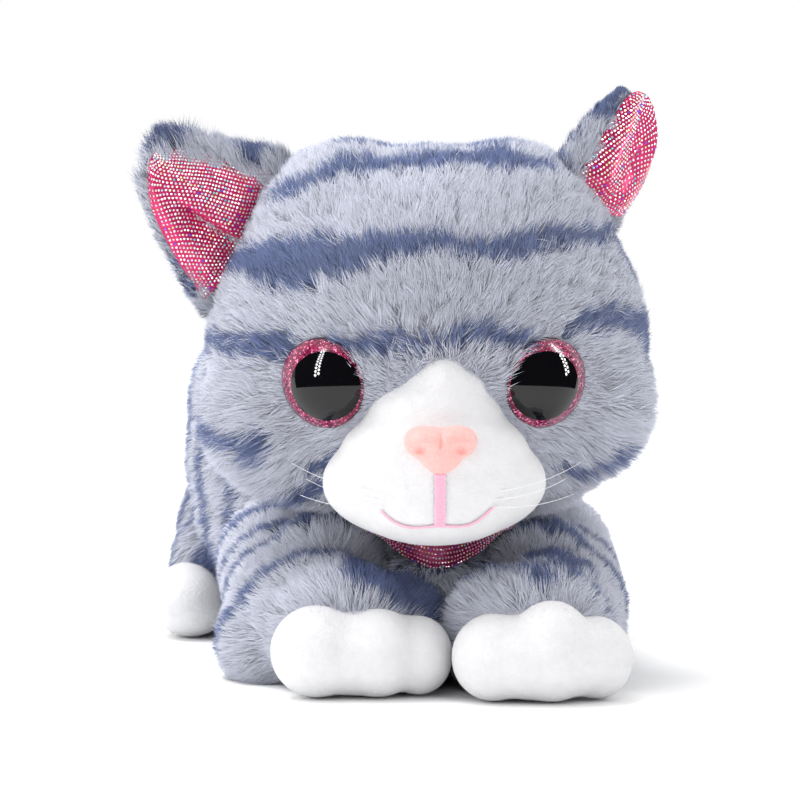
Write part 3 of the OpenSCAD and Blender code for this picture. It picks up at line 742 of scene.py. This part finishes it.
def satin(name, xz, half_width, pitch, seed):
    """Satin stitch along a line on the muzzle: short threads side by side across the line."""
    r = np.random.default_rng(seed)
    xz = np.array(xz, float)
    reach = np.concatenate([[0], np.cumsum(np.linalg.norm(np.diff(xz, axis=0), axis=1))])
    at = np.arange(0, reach[-1], pitch)
    line = np.stack([np.interp(at, reach, xz[:, k]) for k in (0, 1)], 1)
    way = unit(np.gradient(line, axis=0))
    cross = np.stack([-way[:, 1], way[:, 0]], 1)
    verts, faces = [], []
    for k in range(len(line)):
        half = half_width * (0.9 + 0.25 * r.random())
        across = [line[k] + cross[k] * half * s for s in np.linspace(-1, 1, 5)]
        spots = drop_on_muzzle(across)
        if len(spots) < 5:
            continue
        along = np.array([way[k, 0], 0, way[k, 1]]) * pitch * 0.62
        start = len(verts)
        for s, (spot, normal) in zip(np.linspace(-1, 1, 5), spots):
            foot, top = normal * 0.5, normal * (0.5 + 0.4 * math.sqrt(1 - s * s * 0.9))
            verts += [spot - along + foot, spot + top, spot + along + foot]
        for j in range(4):
            for k0 in (start + 3 * j, start + 3 * j + 1):
                faces.append((k0, k0 + 1, k0 + 4, k0 + 3))
    mesh_from(name, verts, faces, [thread_pink], "head")


muzzle_tree = BVHTree.FromPolygons(
    [tuple(c) for c in read(muzzle_skin.vertices, "co")],
    [tuple(f.vertices) for f in muzzle_skin.polygons],
)


def drop_on_muzzle(xz):
    found = []
    for x, z in xz:
        hit, normal, _, _ = muzzle_tree.ray_cast(Vector((x, -200, z)), Vector((0, 1, 0)))
        if hit is not None:
            found.append((np.array(hit), np.array(normal)))
    return found


smile = [(-15.5, 54.1), (-14, 52.6), (-12.2, 51.3), (-10, 50.3), (-7.4, 49.8), (-4, 49.9), (-0.9, 50.3),
         (2.8, 50.2), (5.8, 50.0), (8.4, 50.3), (10.6, 51.1), (12.4, 52.3), (13.9, 53.5), (15.7, 55.2)]
satin("mouth_stitching", smile, 0.29, 0.5, 51)
satin("philtrum_stitching", [(0.6, 64.5), (0.6, 50.0)], 1.5, 0.5, 52)

nylon = plain("clear_nylon", linear((238, 240, 244)), 0.15, Specular_IOR_Level=0.8)
BRISTLE_SIDES = 6


def whisker(side, k):
    """One of three bristles on a cheek, as a thin tapering tube."""
    start, _ = drop_on_muzzle([(side * (16 + 1.2 * k), 57.5 + 2.2 * k)])[0]
    end = start + [side * (21 + 3 * (k % 2)), 4 + 2 * k, 5.5 + 2.2 * k]
    t = np.linspace(0, 1, 14)[:, None]
    droop = np.array([0, 0, -3.0])
    path = start + (end - start) * t + droop * (t * (1 - t)) * 2
    radius = 0.12 * (1 - 0.5 * t)
    ring = circle(BRISTLE_SIDES, [0, 1, 0], [0, 0, 1])
    tube = np.concatenate([q + rad * ring for q, rad in zip(path, radius)])
    return tube, ring_faces(len(path), BRISTLE_SIDES, True)


for side, word in SIDES:
    verts, faces = [], []
    for k in (-1, 0, 1):
        v, f = whisker(side, k)
        faces += [tuple(i + len(verts) for i in face) for face in f]
        verts += list(v)
    mesh_from(f"whisker_bristles_{word}", verts, faces, [nylon], "head", f"whiskers_{word}")

# ---------- Ears ----------


def sequin_cloth(name, low, high):
    return mottled(name, linear(low), linear(high), 700, rough=0.35, Metallic=0.35)


sequin_ground = sequin_cloth("sequin_ground", (176, 16, 80), (212, 34, 110))
# The collar's ground is a darker copy of the ears' sequin cloth: painted shade, for the collar lies in shadow
# under the head
shaded_collar_ground = sequin_cloth("sequin_ground_shaded", (120, 14, 58), (156, 28, 84))
FOIL = [(255, 252, 250), (255, 226, 236), (252, 190, 216), (255, 244, 196), (206, 226, 255), (110, 90, 250),
        (90, 226, 236)]
FOIL_ODDS = [0.54, 0.14, 0.08, 0.09, 0.09, 0.03, 0.03]
FOIL_SIDES = 7
foil_materials = [plain(f"foil_{k}", linear(c), 0.28, Metallic=0.65) for k, c in enumerate(FOIL)]


def foil_dots(name, body, surface, wide, high, pitch, dot_r, seed, taper=0.0, odds=FOIL_ODDS):
    """Foil dots on a sheet. surface(u, v) gives points, normals and which to keep, for u, v from 0 to 1.

    taper is the share of its width that the sheet loses from v = 0 to v = 1.
    """
    r = np.random.default_rng(seed)
    spots = []
    rows = int(high / (pitch * 0.866))
    for row in range(rows):
        v = (row + 0.5) / rows
        columns = wide / pitch * (1 - taper * v)
        for column in np.arange(-int(columns / 2) - 1, int(columns / 2) + 2):
            spots.append((0.5 + (column + 0.5 * (row % 2)) / columns, v))
    uv = np.array(spots)
    uv[:, 0] += 0.016 * np.sin(uv[:, 1] * 9) + 0.05 * pitch / wide * r.normal(size=len(uv))
    uv[:, 1] += 0.014 * np.sin(uv[:, 0] * 11) + 0.05 * pitch / high * r.normal(size=len(uv))
    uv = uv[(uv > 0.012).all(1) & (uv[:, 0] < 0.988)]
    p, n, ok = surface(uv[:, 0], uv[:, 1])
    p, n = p[ok], n[ok]
    n = unit(n + r.normal(size=p.shape) * 0.14)
    across = unit(np.cross(n, [0.3, 0.2, 0.93]))
    up = np.cross(n, across)
    ring = circle(FOIL_SIDES, across[:, None], up[:, None])
    rim = p[:, None] + ring * dot_r + n[:, None] * 0.12
    top = p + n * 0.3
    verts = np.concatenate([rim, top[:, None]], 1).reshape(-1, 3)
    starts = range(0, len(verts), FOIL_SIDES + 1)
    faces = [(k + j, k + (j + 1) % FOIL_SIDES, k + FOIL_SIDES) for k in starts for j in range(FOIL_SIDES)]
    kind = np.repeat(r.choice(len(FOIL), len(p), p=odds), FOIL_SIDES)
    return mesh_from(name, verts, faces, foil_materials, body, index=kind, smooth=False)


# For each ear's lining: inner base, outer base and tip; how much narrower the tip is than the base on its
# inner and outer side; how far the outer side bellies out; the slope of its crease; and its front
EARS = {
    "right": dict(inner=(-45.3, -75, 150.4), outer=(-66.5, -76, 112.4), tip=(-82.3, -80, 155.3),
                  shares=(0.2, 0.34), belly=0.1, slope=0.45, front=(0.1, -1, 0)),
    "left": dict(inner=(43.8, -82, 148.3), outer=(58.7, -64, 137), tip=(63.3, -74, 174.3), shares=(0.35, 0.8),
                 belly=0.45, slope=0.35, front=(0.75, -1, 0)),
}
PANEL_RISE, LOWER_RISE = 6.5, 3.2   # how far the lining's two panels stand forward, either side of its crease


class Lining:
    """An ear's lining: its front as a function of u, from the inner to the outer edge, and v, base to tip."""

    def __init__(self, inner, outer, tip, shares, belly, slope, front):
        self.inner, self.outer, self.tip = (np.array(q, float) for q in (inner, outer, tip))
        self.shares, self.belly, self.slope = shares, belly, slope
        self.middle, self.half = (self.inner + self.outer) / 2, (self.outer - self.inner) / 2
        self.axis = self.tip - self.middle
        facing = np.cross(self.half, self.axis)
        self.front = unit(facing) * np.sign(facing @ np.array(front))

    def flat(self, u, v):
        """The lining without its folds."""
        s = 2 * u - 1
        inward = 1 - (1 - self.shares[0]) * v
        outward = 1 - (1 - self.shares[1]) * v + self.belly * np.sin(math.pi * np.clip(v, 0, 1))
        width = np.where(s < 0, inward, outward)
        width = width * np.sqrt(np.clip(1 - (np.maximum(v - 0.75, 0) / 0.25) ** 2, 0, 1))
        foot = 0.07 * (1 - s * s) * (1 - v) ** 3
        return self.middle + self.axis * (v - foot)[:, None] + self.half * (s * width)[:, None]

    def behind(self, u, v, depth):
        """One point that far behind the unfolded lining."""
        return self.flat(np.array([u]), np.array([v]))[0] - self.front * depth

    def at(self, u, v):
        s = 2 * u - 1
        crease = 0.02 + self.slope * np.clip(v, 0, 1)
        fade = 1 - ease(v, 0.35, 0.72)
        upper = np.sin(math.pi / 2 * np.clip((s + 1) / 0.7, 0, 1))
        drop = ease(s, crease - 0.03, crease + 0.03) * fade
        past = np.clip((s - crease) / np.maximum(1 - crease, 0.05), 0, 1)
        lower = LOWER_RISE * np.sin(math.pi * past)
        edge = np.clip((1 - s) / 0.25, 0, 1)
        rise = PANEL_RISE * upper * (1 - drop) * np.minimum(1, edge) + lower * drop
        rise = rise * (0.35 + 0.65 * ease(v, 0, 0.2)) * (1 - 0.6 * v)
        return self.flat(u, v) + self.front * rise[:, None]


def grid_faces(nu, nv, flip=False, start=0):
    faces = []
    for i in range(nu - 1):
        for j in range(nv - 1):
            at = start + i * nv + j
            q = (at, at + nv, at + nv + 1, at + 1)
            faces.append(q[::-1] if flip else q)
    return faces


def uv_grid(nu, nv, top=1.0):
    u, v = np.meshgrid(np.linspace(0, 1, nu), np.linspace(0, top, nv), indexing="ij")
    return u.ravel(), v.ravel()


# Dark patches on the backs of the ears, seen from the front: (x, z, half thickness)
EAR_SPOTS = [[(-82, 158, 4.4), (-75, 159, 4.0)], [(-51, 154, 3.6), (-45, 157, 3.2)],
             [(-76, 130, 1.0), (-69, 115, 1.6)], [(41, 158, 1.2), (49, 166, 2.6), (58, 175, 3.4)],
             [(34, 154, 3.4), (39, 150, 3)]]


def ear_shade(p, r):
    return pick_kind(band_darkness(p[:, 0], p[:, 2], EAR_SPOTS) + ripple(p, 9, 8), r)


LINING_GRID = (64, 36)  # points across and along a lining
# Radius of the roll at each ear's foot, length of its fur, and the share of that lost at its tip
EAR_FUR = {"right": (5.4, 7.8, -0.25), "left": (4.2, 5.6, 0.6)}


def make_ear(word):
    """An ear's lining with its foil dots, its stuffed back and its fur."""
    sheet = Lining(**EARS[word])
    roll, fur_length, tip_loss = EAR_FUR[word]
    cloth = sheet.at(*uv_grid(*LINING_GRID, 0.995))
    lining = mesh_from(f"ear_lining_cloth_{word}", cloth, grid_faces(*LINING_GRID), [sequin_ground], "head",
                       f"ear_lining_{word}")

    def on_lining(u, v):
        e = 0.01
        across = sheet.at(u + e, v) - sheet.at(u - e, v)
        n = unit(np.cross(across, sheet.at(u, np.minimum(v + e, 0.99)) - sheet.at(u, v - e)) + 1e-9)
        n = n * np.sign(n @ sheet.front)[:, None]
        return sheet.at(u, v), n, (v < 0.985)

    wide, high = 2 * np.linalg.norm(sheet.half), np.linalg.norm(sheet.axis)
    foil = foil_dots(f"ear_lining_foil_{word}", "head", on_lining, wide, high, 1.12, 0.35, 61,
                     taper=1 - sum(sheet.shares) / 2)

    # The furry back: a stuffed plate behind the lining with a roll along its upper edge
    balls = []
    for u in np.linspace(0.08, 0.87, 11):
        for v in np.linspace(-0.08, 0.88, 10):
            rad = 3.8 - 1.6 * max(v, 0)
            balls.append(ball(sheet.behind(u, v, rad + 0.8), rad))
    for t in np.linspace(0, 1, 9):
        rad = roll - (roll - 2.2) * t
        balls.append(ball(sheet.behind(0.05, t * 0.86, rad + 0.6) + [0, 0, 0.6], rad))
    for v in np.linspace(-0.08, 0.8, 12):
        balls.append(ball(sheet.behind(0.97 - 0.06 * max(v, 0), v, 3.6), 3.0 - v))
    form = blob(f"ear_form_{word}", balls, voxel=1.4, smooth=5)
    place_skin(f"ear_ground_{word}", form, [ground_light], "head", f"ear_{word}")
    spots = sheet.flat(*uv_grid(40, 30, 0.99))
    tree = kdtree.KDTree(len(spots))
    for k, q in enumerate(spots):
        tree.insert(q, k)
    tree.balance()

    def off_lining(p):
        gap = p - np.array([tree.find(q)[0] for q in p])
        ahead = gap @ sheet.front
        aside = np.linalg.norm(gap - ahead[:, None] * sheet.front, axis=1)
        return ~((ahead > -2.4) & (aside < 0.3))

    def ear_length(p):
        """Shorter towards the outer edge and the tip."""
        s = (p - sheet.middle) @ sheet.half / (sheet.half @ sheet.half)
        v = (p - sheet.middle) @ sheet.axis / (sheet.axis @ sheet.axis)
        return fur_length * (1 - 0.4 * ease(s, -0.4, 0.4)) * (1 - tip_loss * ease(v, 0.5, 0.9))

    def ear_flow(p, n):
        outward = unit(sheet.half)
        spread = 0.6 * outward * ease((p - sheet.middle) @ outward, 8, 20)[:, None]
        return 0.6 * unit(sheet.axis) + n * 0.1 + [0, 0, 0.5] + spread

    pile(
        f"ear_pile_{word}", form, 34000, ear_length, ear_flow, ear_shade, "head", 44.0, keep=off_lining,
        seed=71,
    )


for word in EARS:
    make_ear(word)

# ---------- Torso ----------

# Flanks in pairs, then back, belly, chest, throat and what joins them
TORSO_LOBES = [
    ((-22, 44, 74), (39.5, 58, 37)), ((22, 44, 74), (39.5, 58, 37)),
    ((-22, 44, 42), (38, 66, 38)), ((22, 44, 42), (38, 66, 38)),
    ((-24, 44, 58), (38.5, 62, 34)), ((24, 44, 58), (38.5, 62, 34)),
    ((0, 50, 58), (50, 65, 52)), ((0, 40, 24), (46, 60, 24)), ((0, 66, 24), (50, 46, 24)),
    ((0, -48, 19), (37, 38, 17)), ((0, -70, 25), (25, 26, 15.5)),
    ((0, -10, 22), (42, 26, 21)), ((0, 4, 17), (48, 44, 16.5)),
]
torso_skin = blob("torso_form", TORSO_LOBES, voxel=2.6, smooth=10, floor=0.5)
belly_low, belly_high = (np.array(corner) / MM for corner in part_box("chassis_base"))


def on_belly_plate(p):
    """On the underside, where the skin is open round the chassis base."""
    return (p[:, 2] < 3) & (p[:, :2] > belly_low[:2] + 1).all(1) & (p[:, :2] < belly_high[:2] - 1).all(1)


def torso_flow(p, n):
    rear = ease(p[:, 1], 60, 110)[:, None]
    chest = ease(-p[:, 1], 10, 60)[:, None]
    return (1 - rear) * [0, 0.9, -0.35] + rear * [0, 0.1, -0.9] + chest * [0, -1.4, -1.2]


def cut_open(skin, inside):
    """Cuts away the faces of a skin whose centres are inside."""
    bm = bmesh.new()
    bm.from_mesh(skin)
    bm.faces.ensure_lookup_table()
    gone = [bm.faces[k] for k in np.flatnonzero(inside(read(skin.polygons, "center")))]
    bmesh.ops.delete(bm, geom=gone, context="FACES")
    bm.to_mesh(skin)
    bm.free()


cut_open(torso_skin, on_belly_plate)
torso = place_skin("torso_ground", torso_skin, fur_ground, "torso", "body_skin",
                   torso_inside)
stuffing("torso_stuffing", torso_skin, "torso", "body_fill")
pile(
    "torso_pile", torso_skin, 190000, lambda p: 6.5 + 1.5 * ease(p[:, 1], -30, 20), torso_flow, torso_shade,
    "torso", keep=lambda p: p[:, 2] > 0.8, seed=81,
)

# ---------- Legs ----------


def limb(points):
    """Ovals strung along a limb; points are (centre, radius)."""
    parts = []
    for (a, ra), (b, rb) in zip(points, points[1:]):
        a, b = np.array(a, float), np.array(b, float)
        for t in np.linspace(0, 1, 6):
            rad = ra + (rb - ra) * t
            parts.append(ball(a + (b - a) * t, rad))
    return parts


FORELEGS = {
    "right": [((-41, -28, 30), 18.5), ((-42, -72, 20.5), 18.5), ((-32, -108, 17.5), 17)],
    "left": [((42, -28, 30), 19), ((37, -78, 20), 18.5), ((24, -122, 17.5), 16.5)],
}
# Where the plush bulges out of that line: against the collar and between the forearms
BULGES = {
    "right": [((-33, -76, 34), (15, 14, 14)), ((-17, -98, 15.5), (15, 15, 14.5)),
              ((-46.5, -76, 11), (17.5, 21, 16))],
    "left": [((30, -79, 32), (15, 14, 14)), ((14, -112, 17), (14.5, 15, 16)), ((37, -80, 11), (17, 20, 16))],
}
# x of each front paw's middle and y of its toe tips, and its lobes: place across, half width, reach, height
PAWS = {
    "right": (-28.8, -137.5, [(-13.0, 13.4, 0, 13.4), (4.4, 12.4, -1.5, 12.9), (16.4, 10.2, 2.0, 11.6)]),
    "left": (20.9, -155.0, [(-14.0, 12.0, 3.0, 12.6), (2.0, 12.4, -1.5, 14.6), (15.6, 10.9, 4.0, 12.0)]),
}
# Bands across each foreleg: how far along it, from the toes back, and half thickness
LEG_RINGS = {
    "right": [(-83.4, 3.0), (-61.7, 3.2), (-41.8, 3.4), (-21, 3.4)],
    "left": [(-90, 3.0), (-46, 3.8), (-20, 3.4)],
}
LEG_WAY = {"right": (0.2, 1, 0.6), "left": (0.5, 1, 0.6)}   # across the rings; z and x tilt them
# Dark patches on the forearms' tops, seen from the front: (x, z, half thickness)
LEG_PATCHES = {
    "right": [[(-29, 32, 3.5), (-17, 28, 7.5), (-7, 25, 6)]],
    "left": [[(4, 35, 1.6), (12, 37, 2.0), (21, 37, 2.0), (29, 35.5, 2.4), (38, 32, 2.4)],
             [(19, 31, 1.6), (24, 31, 2)]],
}


def foreleg_inside(p, word):
    """Dark rings across the leg, with a patch on the forearm."""
    along = p @ np.array(LEG_WAY[word]) + 1.6 * ripple(p, 26, 21)
    inside = np.full(len(p), -99.0)
    for place, half in LEG_RINGS[word]:
        inside = np.maximum(inside, half + 0.6 * ripple(p, 15, 22) - np.abs(along - place))
    patch = band_darkness(p[:, 0], p[:, 2] + ripple(p, 9, 23), LEG_PATCHES[word])
    return np.maximum(inside, np.where(p[:, 1] < -96, patch, -99))


def white_paw(title, word, lobes, count, seed, voxel, smooth):
    form = blob(f"{title}_form_{word}", lobes, voxel, smooth, floor=0.3)
    place_skin(f"{title}_plush_{word}", form, [white_nap], "torso", f"{title}_{word}")
    pile(
        f"{title}_pile_{word}", form, count, flow=(0, -0.6, -0.5), shade=always(WHITE), body="torso",
        keep=lambda p: p[:, 2] > 0.5, seed=seed, **SHORT_PILE,
    )


def make_foreleg(word):
    """A foreleg with its fur and its white paw."""
    form = blob(f"foreleg_form_{word}", limb(FORELEGS[word]) + BULGES[word], voxel=2.2, smooth=8, floor=0.5)
    x, tip_y, toes = PAWS[word]
    anchor = np.array([x, tip_y + 16, 12.0])

    def inside(p):
        return foreleg_inside(p, word)

    def length(p):
        return 8.4 - 1.8 * ease(np.linalg.norm(p - anchor, axis=1), 30, 60)

    def off_neck(p):
        return (p[:, 2] > 0.8) & (np.linalg.norm((p - neck)[:, :2], axis=1) > 26)

    place_skin(f"foreleg_ground_{word}", form, fur_ground, "torso", f"foreleg_{word}",
               inside)
    pile(
        f"foreleg_pile_{word}", form, 60000, length, lambda p, n: unit(p - anchor) + [0, 0.25, -0.1],
        lambda p, r: pick_kind(inside(p), r, 0.5), "torso", keep=off_neck, seed=91,
    )
    lobes = [((x + across, tip_y + 14 + reach, high), (half, 14, high)) for across, half, reach, high in toes]
    heel = [((x, tip_y + 25, 13.0), (22.0, 14, 12.8)), ((x, tip_y + 15.2, 12.6), (25.2, 15.0, 12.3))]
    white_paw("front_paw", word, lobes + heel, 40000, 95, voxel=1.3, smooth=14)


HAUNCH_TOP, HAUNCH_FOOT = np.array([0, 104, 30.0]), np.array([0, 30, 26.0])


def haunch_shade(p, r):
    """Bands across a haunch, counted down from the rump."""
    along = (p - HAUNCH_TOP) @ unit(HAUNCH_FOOT - HAUNCH_TOP) + 1.5 * ripple(p, 24, 21)
    return pick_kind(even_bands(along + 4, 17, 3), r, 0.7)


for word in FORELEGS:
    make_foreleg(word)
for side, word in SIDES:
    lobes = [((side * 39.5, 68, 30), (24, 36, 28)), ((side * 53.5, 50, 20), (14, 20, 18))]
    form = blob(f"haunch_form_{word}", lobes, smooth=12, floor=0.5)
    place_skin(f"haunch_ground_{word}", form, [ground_light], "torso", f"haunch_{word}")
    pile(
        f"haunch_pile_{word}", form, 50000, 7.5, (0, 0.15, -0.9), haunch_shade, "torso",
        keep=lambda p: (p[:, 2] > 0.8) & (np.abs(p[:, 0]) > 28), seed=101,
    )
    lobes = [((side * 65, 36, 12.2), (12, 20, 12)), ((side * 65, 30, 11), (12.5, 14, 11))]
    white_paw("hind_paw", word, lobes, 20000, 105, voxel=1.5, smooth=8)

# ---------- Tail ----------

tail_line = [(0, 119, 56), (0, 128, 57), (0, 137, 61), (0, 143, 68), (0, 146, 78), (0, 146, 94),
             (0, 146, 112)]
tail_form = blob("tail_form", limb([(q, 9.0) for q in tail_line]), voxel=2.2, smooth=8)
place_skin("tail_ground", tail_form, [ground_light], "tail", "tail_skin")
stuffing("tail_stuffing", tail_form, "tail", "tail_fill")


def tail_flow(p, n):
    up = ease(p[:, 2], 58, 80)[:, None]
    return (1 - up) * [0, 1.0, 0.1] + up * [0, 0, 1.0]


def tail_shade(p, r):
    along = np.where(p[:, 2] > 70, p[:, 2] + 60, p[:, 1] - 10) + 1.2 * ripple(p, 20, 31)
    return pick_kind(np.where(p[:, 2] > 111, 3, even_bands(along, 14, 2.6)), r, 0.7)


pile("tail_pile", tail_form, 50000, 7.0, tail_flow, tail_shade, "tail", seed=111)

# ---------- Neck and collar ----------

NECK_STEPS = 96
neck_rows = [(30 + 1.2 * math.sin(k * 1.9), z) for k, z in enumerate(np.linspace(31, 56, 12))]
ring = circle(NECK_STEPS, [1, 0, 0], [0, 1, 0])
neck_points = np.concatenate([ring * rad + [neck[0], neck[1], z] for rad, z in neck_rows])
sleeve = mesh_from("neck_sleeve", neck_points, ring_faces(len(neck_rows), NECK_STEPS), [ground_light])
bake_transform(sleeve)
pile(
    "neck_pile", blob("neck_form", [((neck[0], neck[1], 44), (32, 32, 26))]), 16000, 5.0, (0, 0, -1.0),
    always(LIGHT), "torso", keep=lambda p: np.abs(p[:, 2] - 43) < 11, seed=131,
)

COLLAR_R, COLLAR_LOW, COLLAR_HIGH = 42.2, 40.0, 47.0
COLLAR_SAG = 6.4    # how far its lower edge hangs at the throat
COLLAR_LIFT = 4.4   # how much higher it is at the sides
COLLAR_SQUEEZE = 0.79  # its width as a share of a circle's
COLLAR_TURN = 1.32  # of half a turn
# Fewer silver and more pink dots than on the ears: painted shade of the collar under the head
COLLAR_SHADED_ODDS = [0.08, 0.2, 0.5, 0.1, 0.06, 0.04, 0.02]


def collar_at(u, v):
    """The collar band: u round it from back right to back left, v from its lower edge up."""
    a = math.pi * (1.5 + (u - 0.5) * COLLAR_TURN)
    sway = 0.4 * np.sin(a * 9) + 0.25 * np.sin(a * 23)
    rad = COLLAR_R + 0.9 * np.sin(v * math.pi) + sway * 0.5
    x = COLLAR_SQUEEZE * rad * np.cos(a)
    sag = COLLAR_SAG * np.exp(-(((x + 1.7) / 12) ** 2)) * (np.sin(a) < 0)
    low = COLLAR_LOW + COLLAR_LIFT * ease(np.abs(x + 1), 10, 21) - sag
    z = low + (COLLAR_HIGH - low) * v + sway * 0.3
    return np.stack([x, neck[1] + rad * np.sin(a), z], -1)


def on_collar(u, v):
    p = collar_at(u, v)
    n = unit((p - [neck[0], neck[1], 0]) * [1, 1, 0])
    return p, n, np.ones(len(p), bool)


ROUND, ACROSS, COLLAR_THICK = 160, 9, 0.9  # the band's points round it and across it
front_face = collar_at(*uv_grid(ROUND, ACROSS))
back_face = front_face - on_collar(*uv_grid(ROUND, ACROSS))[1] * COLLAR_THICK
behind = ROUND * ACROSS
low_hem, high_hem = range(0, behind - ACROSS, ACROSS), range(ACROSS - 1, behind - ACROSS, ACROSS)
hems = [(k, k + behind, k + behind + ACROSS, k + ACROSS) for k in low_hem]
hems += [(k, k + ACROSS, k + ACROSS + behind, k + behind) for k in high_hem]
collar = mesh_from(
    "collar_band", np.concatenate([front_face, back_face]),
    grid_faces(ROUND, ACROSS) + grid_faces(ROUND, ACROSS, True, behind) + hems, [shaded_collar_ground],
    "torso", "collar",
)
COLLAR_LENGTH = COLLAR_R * math.pi * COLLAR_TURN
foil = foil_dots("collar_foil", "torso", on_collar, COLLAR_LENGTH,
                 COLLAR_HIGH - COLLAR_LOW + COLLAR_SAG / 2, 1.15, 0.28, 121, odds=COLLAR_SHADED_ODDS)

# ---------- CAD pieces that stay ----------

KEPT = {
    "chassis_base": moulded("grey_abs", (0.32, 0.34, 0.37), 0.5),
    "battery_door": moulded("grey_abs_door", (0.36, 0.38, 0.41), 0.5),
    "chassis_top": moulded("black_abs", (0.02, 0.02, 0.022), 0.5),
    "speaker": moulded("speaker_paper", (0.015, 0.015, 0.016), 0.8),
    "circuit_board": moulded("board_mask", (0.012, 0.13, 0.05), 0.35),
    "board_parts": moulded("chip_epoxy", (0.02, 0.02, 0.022), 0.4),
    "battery_cells": moulded("cell_jacket", (0.05, 0.24, 0.1), 0.3),
    "power_switch_knob": moulded("switch_knob", (0.02, 0.02, 0.02), 0.45),
}
acetal = moulded("white_acetal", (0.8, 0.8, 0.77), 0.4)
button_black = moulded("button_black", (0.03, 0.03, 0.03), 0.5)
steel = metal("plated_steel", (0.62, 0.63, 0.65), 0.3)
brass = metal("turned_brass", (0.72, 0.52, 0.22), 0.28)
BY_SLOT = {
    "white_acetal": acetal, "steel": steel, "brass": brass, "fibre_fill": fibre, "eye_black": eye_rim,
    "eye_glitter": pink_glitter, "black_abs": button_black, "grey_abs": KEPT["chassis_base"],
}
slot_of = {s["node"]: s["material_slot"] for s in frame["record"]["subparts"]}
for name, obj in frame["nodes"].items():
    material = KEPT.get(name) or BY_SLOT.get(slot_of[name])
    if material is not None:
        if not obj.material_slots:
            obj.data.materials.append(material)
        for slot in obj.material_slots:
            slot.material = material

# ---------- Stage ----------

FLOOR = 6000
floor_corners = [(x * FLOOR, y * FLOOR, 0) for x, y in ((-1, -1), (1, -1), (1, 1), (-1, 1))]
floor_white = plain("floor_white", (0.995, 0.995, 0.995), 0.9, Specular_IOR_Level=0.0)
mesh_from("floor", floor_corners, [(0, 1, 2, 3)], [floor_white], smooth=False)
scene = bpy.context.scene
scene.view_settings.view_transform = "Standard"
world = bpy.data.worlds.new("studio")
scene.world = world
world.use_nodes = True
world.node_tree.nodes["Background"].inputs["Color"].default_value = (1, 1, 1, 1)
world.node_tree.nodes["Background"].inputs["Strength"].default_value = 1.0


def softbox(name, place, aim, width, height, watts):
    light = bpy.data.lights.new(name, "AREA")
    light.shape = "RECTANGLE"
    light.size, light.size_y = width, height
    light.energy = watts
    obj = new_object(name, light)
    obj.location = place
    obj.rotation_euler = (Vector(aim) - Vector(place)).to_track_quat("-Z", "Y").to_euler()
    return obj


softbox("key", (-0.45, 0.3, 1.8), (0, -0.05, 0.08), 1.2, 1.2, 28).visible_glossy = False
softbox("fill", (-1.4, -0.3, 0.7), (0, 0, 0.06), 0.8, 0.8, 6).visible_glossy = False


def only_in_reflections(obj):
    for ray in ("camera", "diffuse", "shadow", "transmission"):
        setattr(obj, f"visible_{ray}", False)


def glow(name, strength):
    m = plain(name, (0, 0, 0), 0.5, Specular_IOR_Level=0.0)
    shader = m.node_tree.nodes["Principled BSDF"]
    shader.inputs["Emission Color"].default_value = (1, 1, 1, 1)
    shader.inputs["Emission Strength"].default_value = strength
    return m


# A black flag round the face darkens the upper half of each eye's reflection
FLAG_R, FLAG_LOW, FLAG_HIGH, FLAG_POSTS = 330, 2, 480, 13
around = np.radians(np.linspace(-95, 95, FLAG_POSTS))
flag_line = np.stack([FLAG_R * np.sin(around), HEAD[1] - FLAG_R * np.cos(around), 0 * around], 1)
flag_points = np.concatenate([flag_line + [0, 0, FLAG_LOW], flag_line + [0, 0, FLAG_HIGH]])
flag_faces = [(k, k + 1, k + 1 + FLAG_POSTS, k + FLAG_POSTS) for k in range(FLAG_POSTS - 1)]
flag = mesh_from("studio_flag", flag_points, flag_faces,
                 [plain("flag_black", (0.004, 0.004, 0.004), 1.0, Specular_IOR_Level=0.0)])
only_in_reflections(flag)

# Two panels of lamps stand left and right of the camera and show as dotted strips in the eyes
LAMP_R, LAMP_SIDES, LAMP_LOW, LAMP_RISE, LAMP_ASIDE, LAMP_ROWS, PANEL_R = 11, 12, 106, 15, 14, 24, 290
lamp_glow = glow("lamp_glow", 40.0)
for angle, word in ((-47, "right"), (66, "left")):
    out = np.array([math.sin(math.radians(angle)), -math.cos(math.radians(angle)), 0])
    across = np.array([-out[1], out[0], 0])
    verts, faces = [], []
    for k in range(LAMP_ROWS):
        aside = LAMP_ASIDE if k % 2 else -LAMP_ASIDE
        middle = out * PANEL_R + across * aside + [0, HEAD[1], LAMP_LOW + LAMP_RISE * k]
        faces.append(tuple(range(len(verts), len(verts) + LAMP_SIDES)))
        verts += list(middle + LAMP_R * circle(LAMP_SIDES, across, [0, 0, 1]))
    only_in_reflections(mesh_from(f"lamp_panel_{word}", verts, faces, [lamp_glow]))

# Camera: in front, a little to the cat's right and a little above the face
AZIMUTH, ELEVATION, DISTANCE = math.radians(-8), math.radians(3), 1.1
VIEW_WIDTH = 0.240  # of the view at the head's centre
HEAD_ASIDE, HEAD_ABOVE = 8.25, 17.85  # mm from the view's middle to the head's centre
right = np.array([math.cos(AZIMUTH), math.sin(AZIMUTH), 0])
level = np.array([math.sin(AZIMUTH), -math.cos(AZIMUTH), 0])
back = level * math.cos(ELEVATION) + [0, 0, math.sin(ELEVATION)]
up = np.cross(back, right)
aim = (turn_head(HEAD) - right * HEAD_ASIDE - up * HEAD_ABOVE) * MM
camera = bpy.data.cameras.new("camera")
camera.sensor_width = 36
camera.lens = camera.sensor_width * DISTANCE / VIEW_WIDTH
camera.clip_end = 30
cam = new_object("camera", camera)
cam.location = Vector(aim + back * DISTANCE)
cam.rotation_euler = Vector(-back).to_track_quat("-Z", "Y").to_euler()
scene.camera = cam
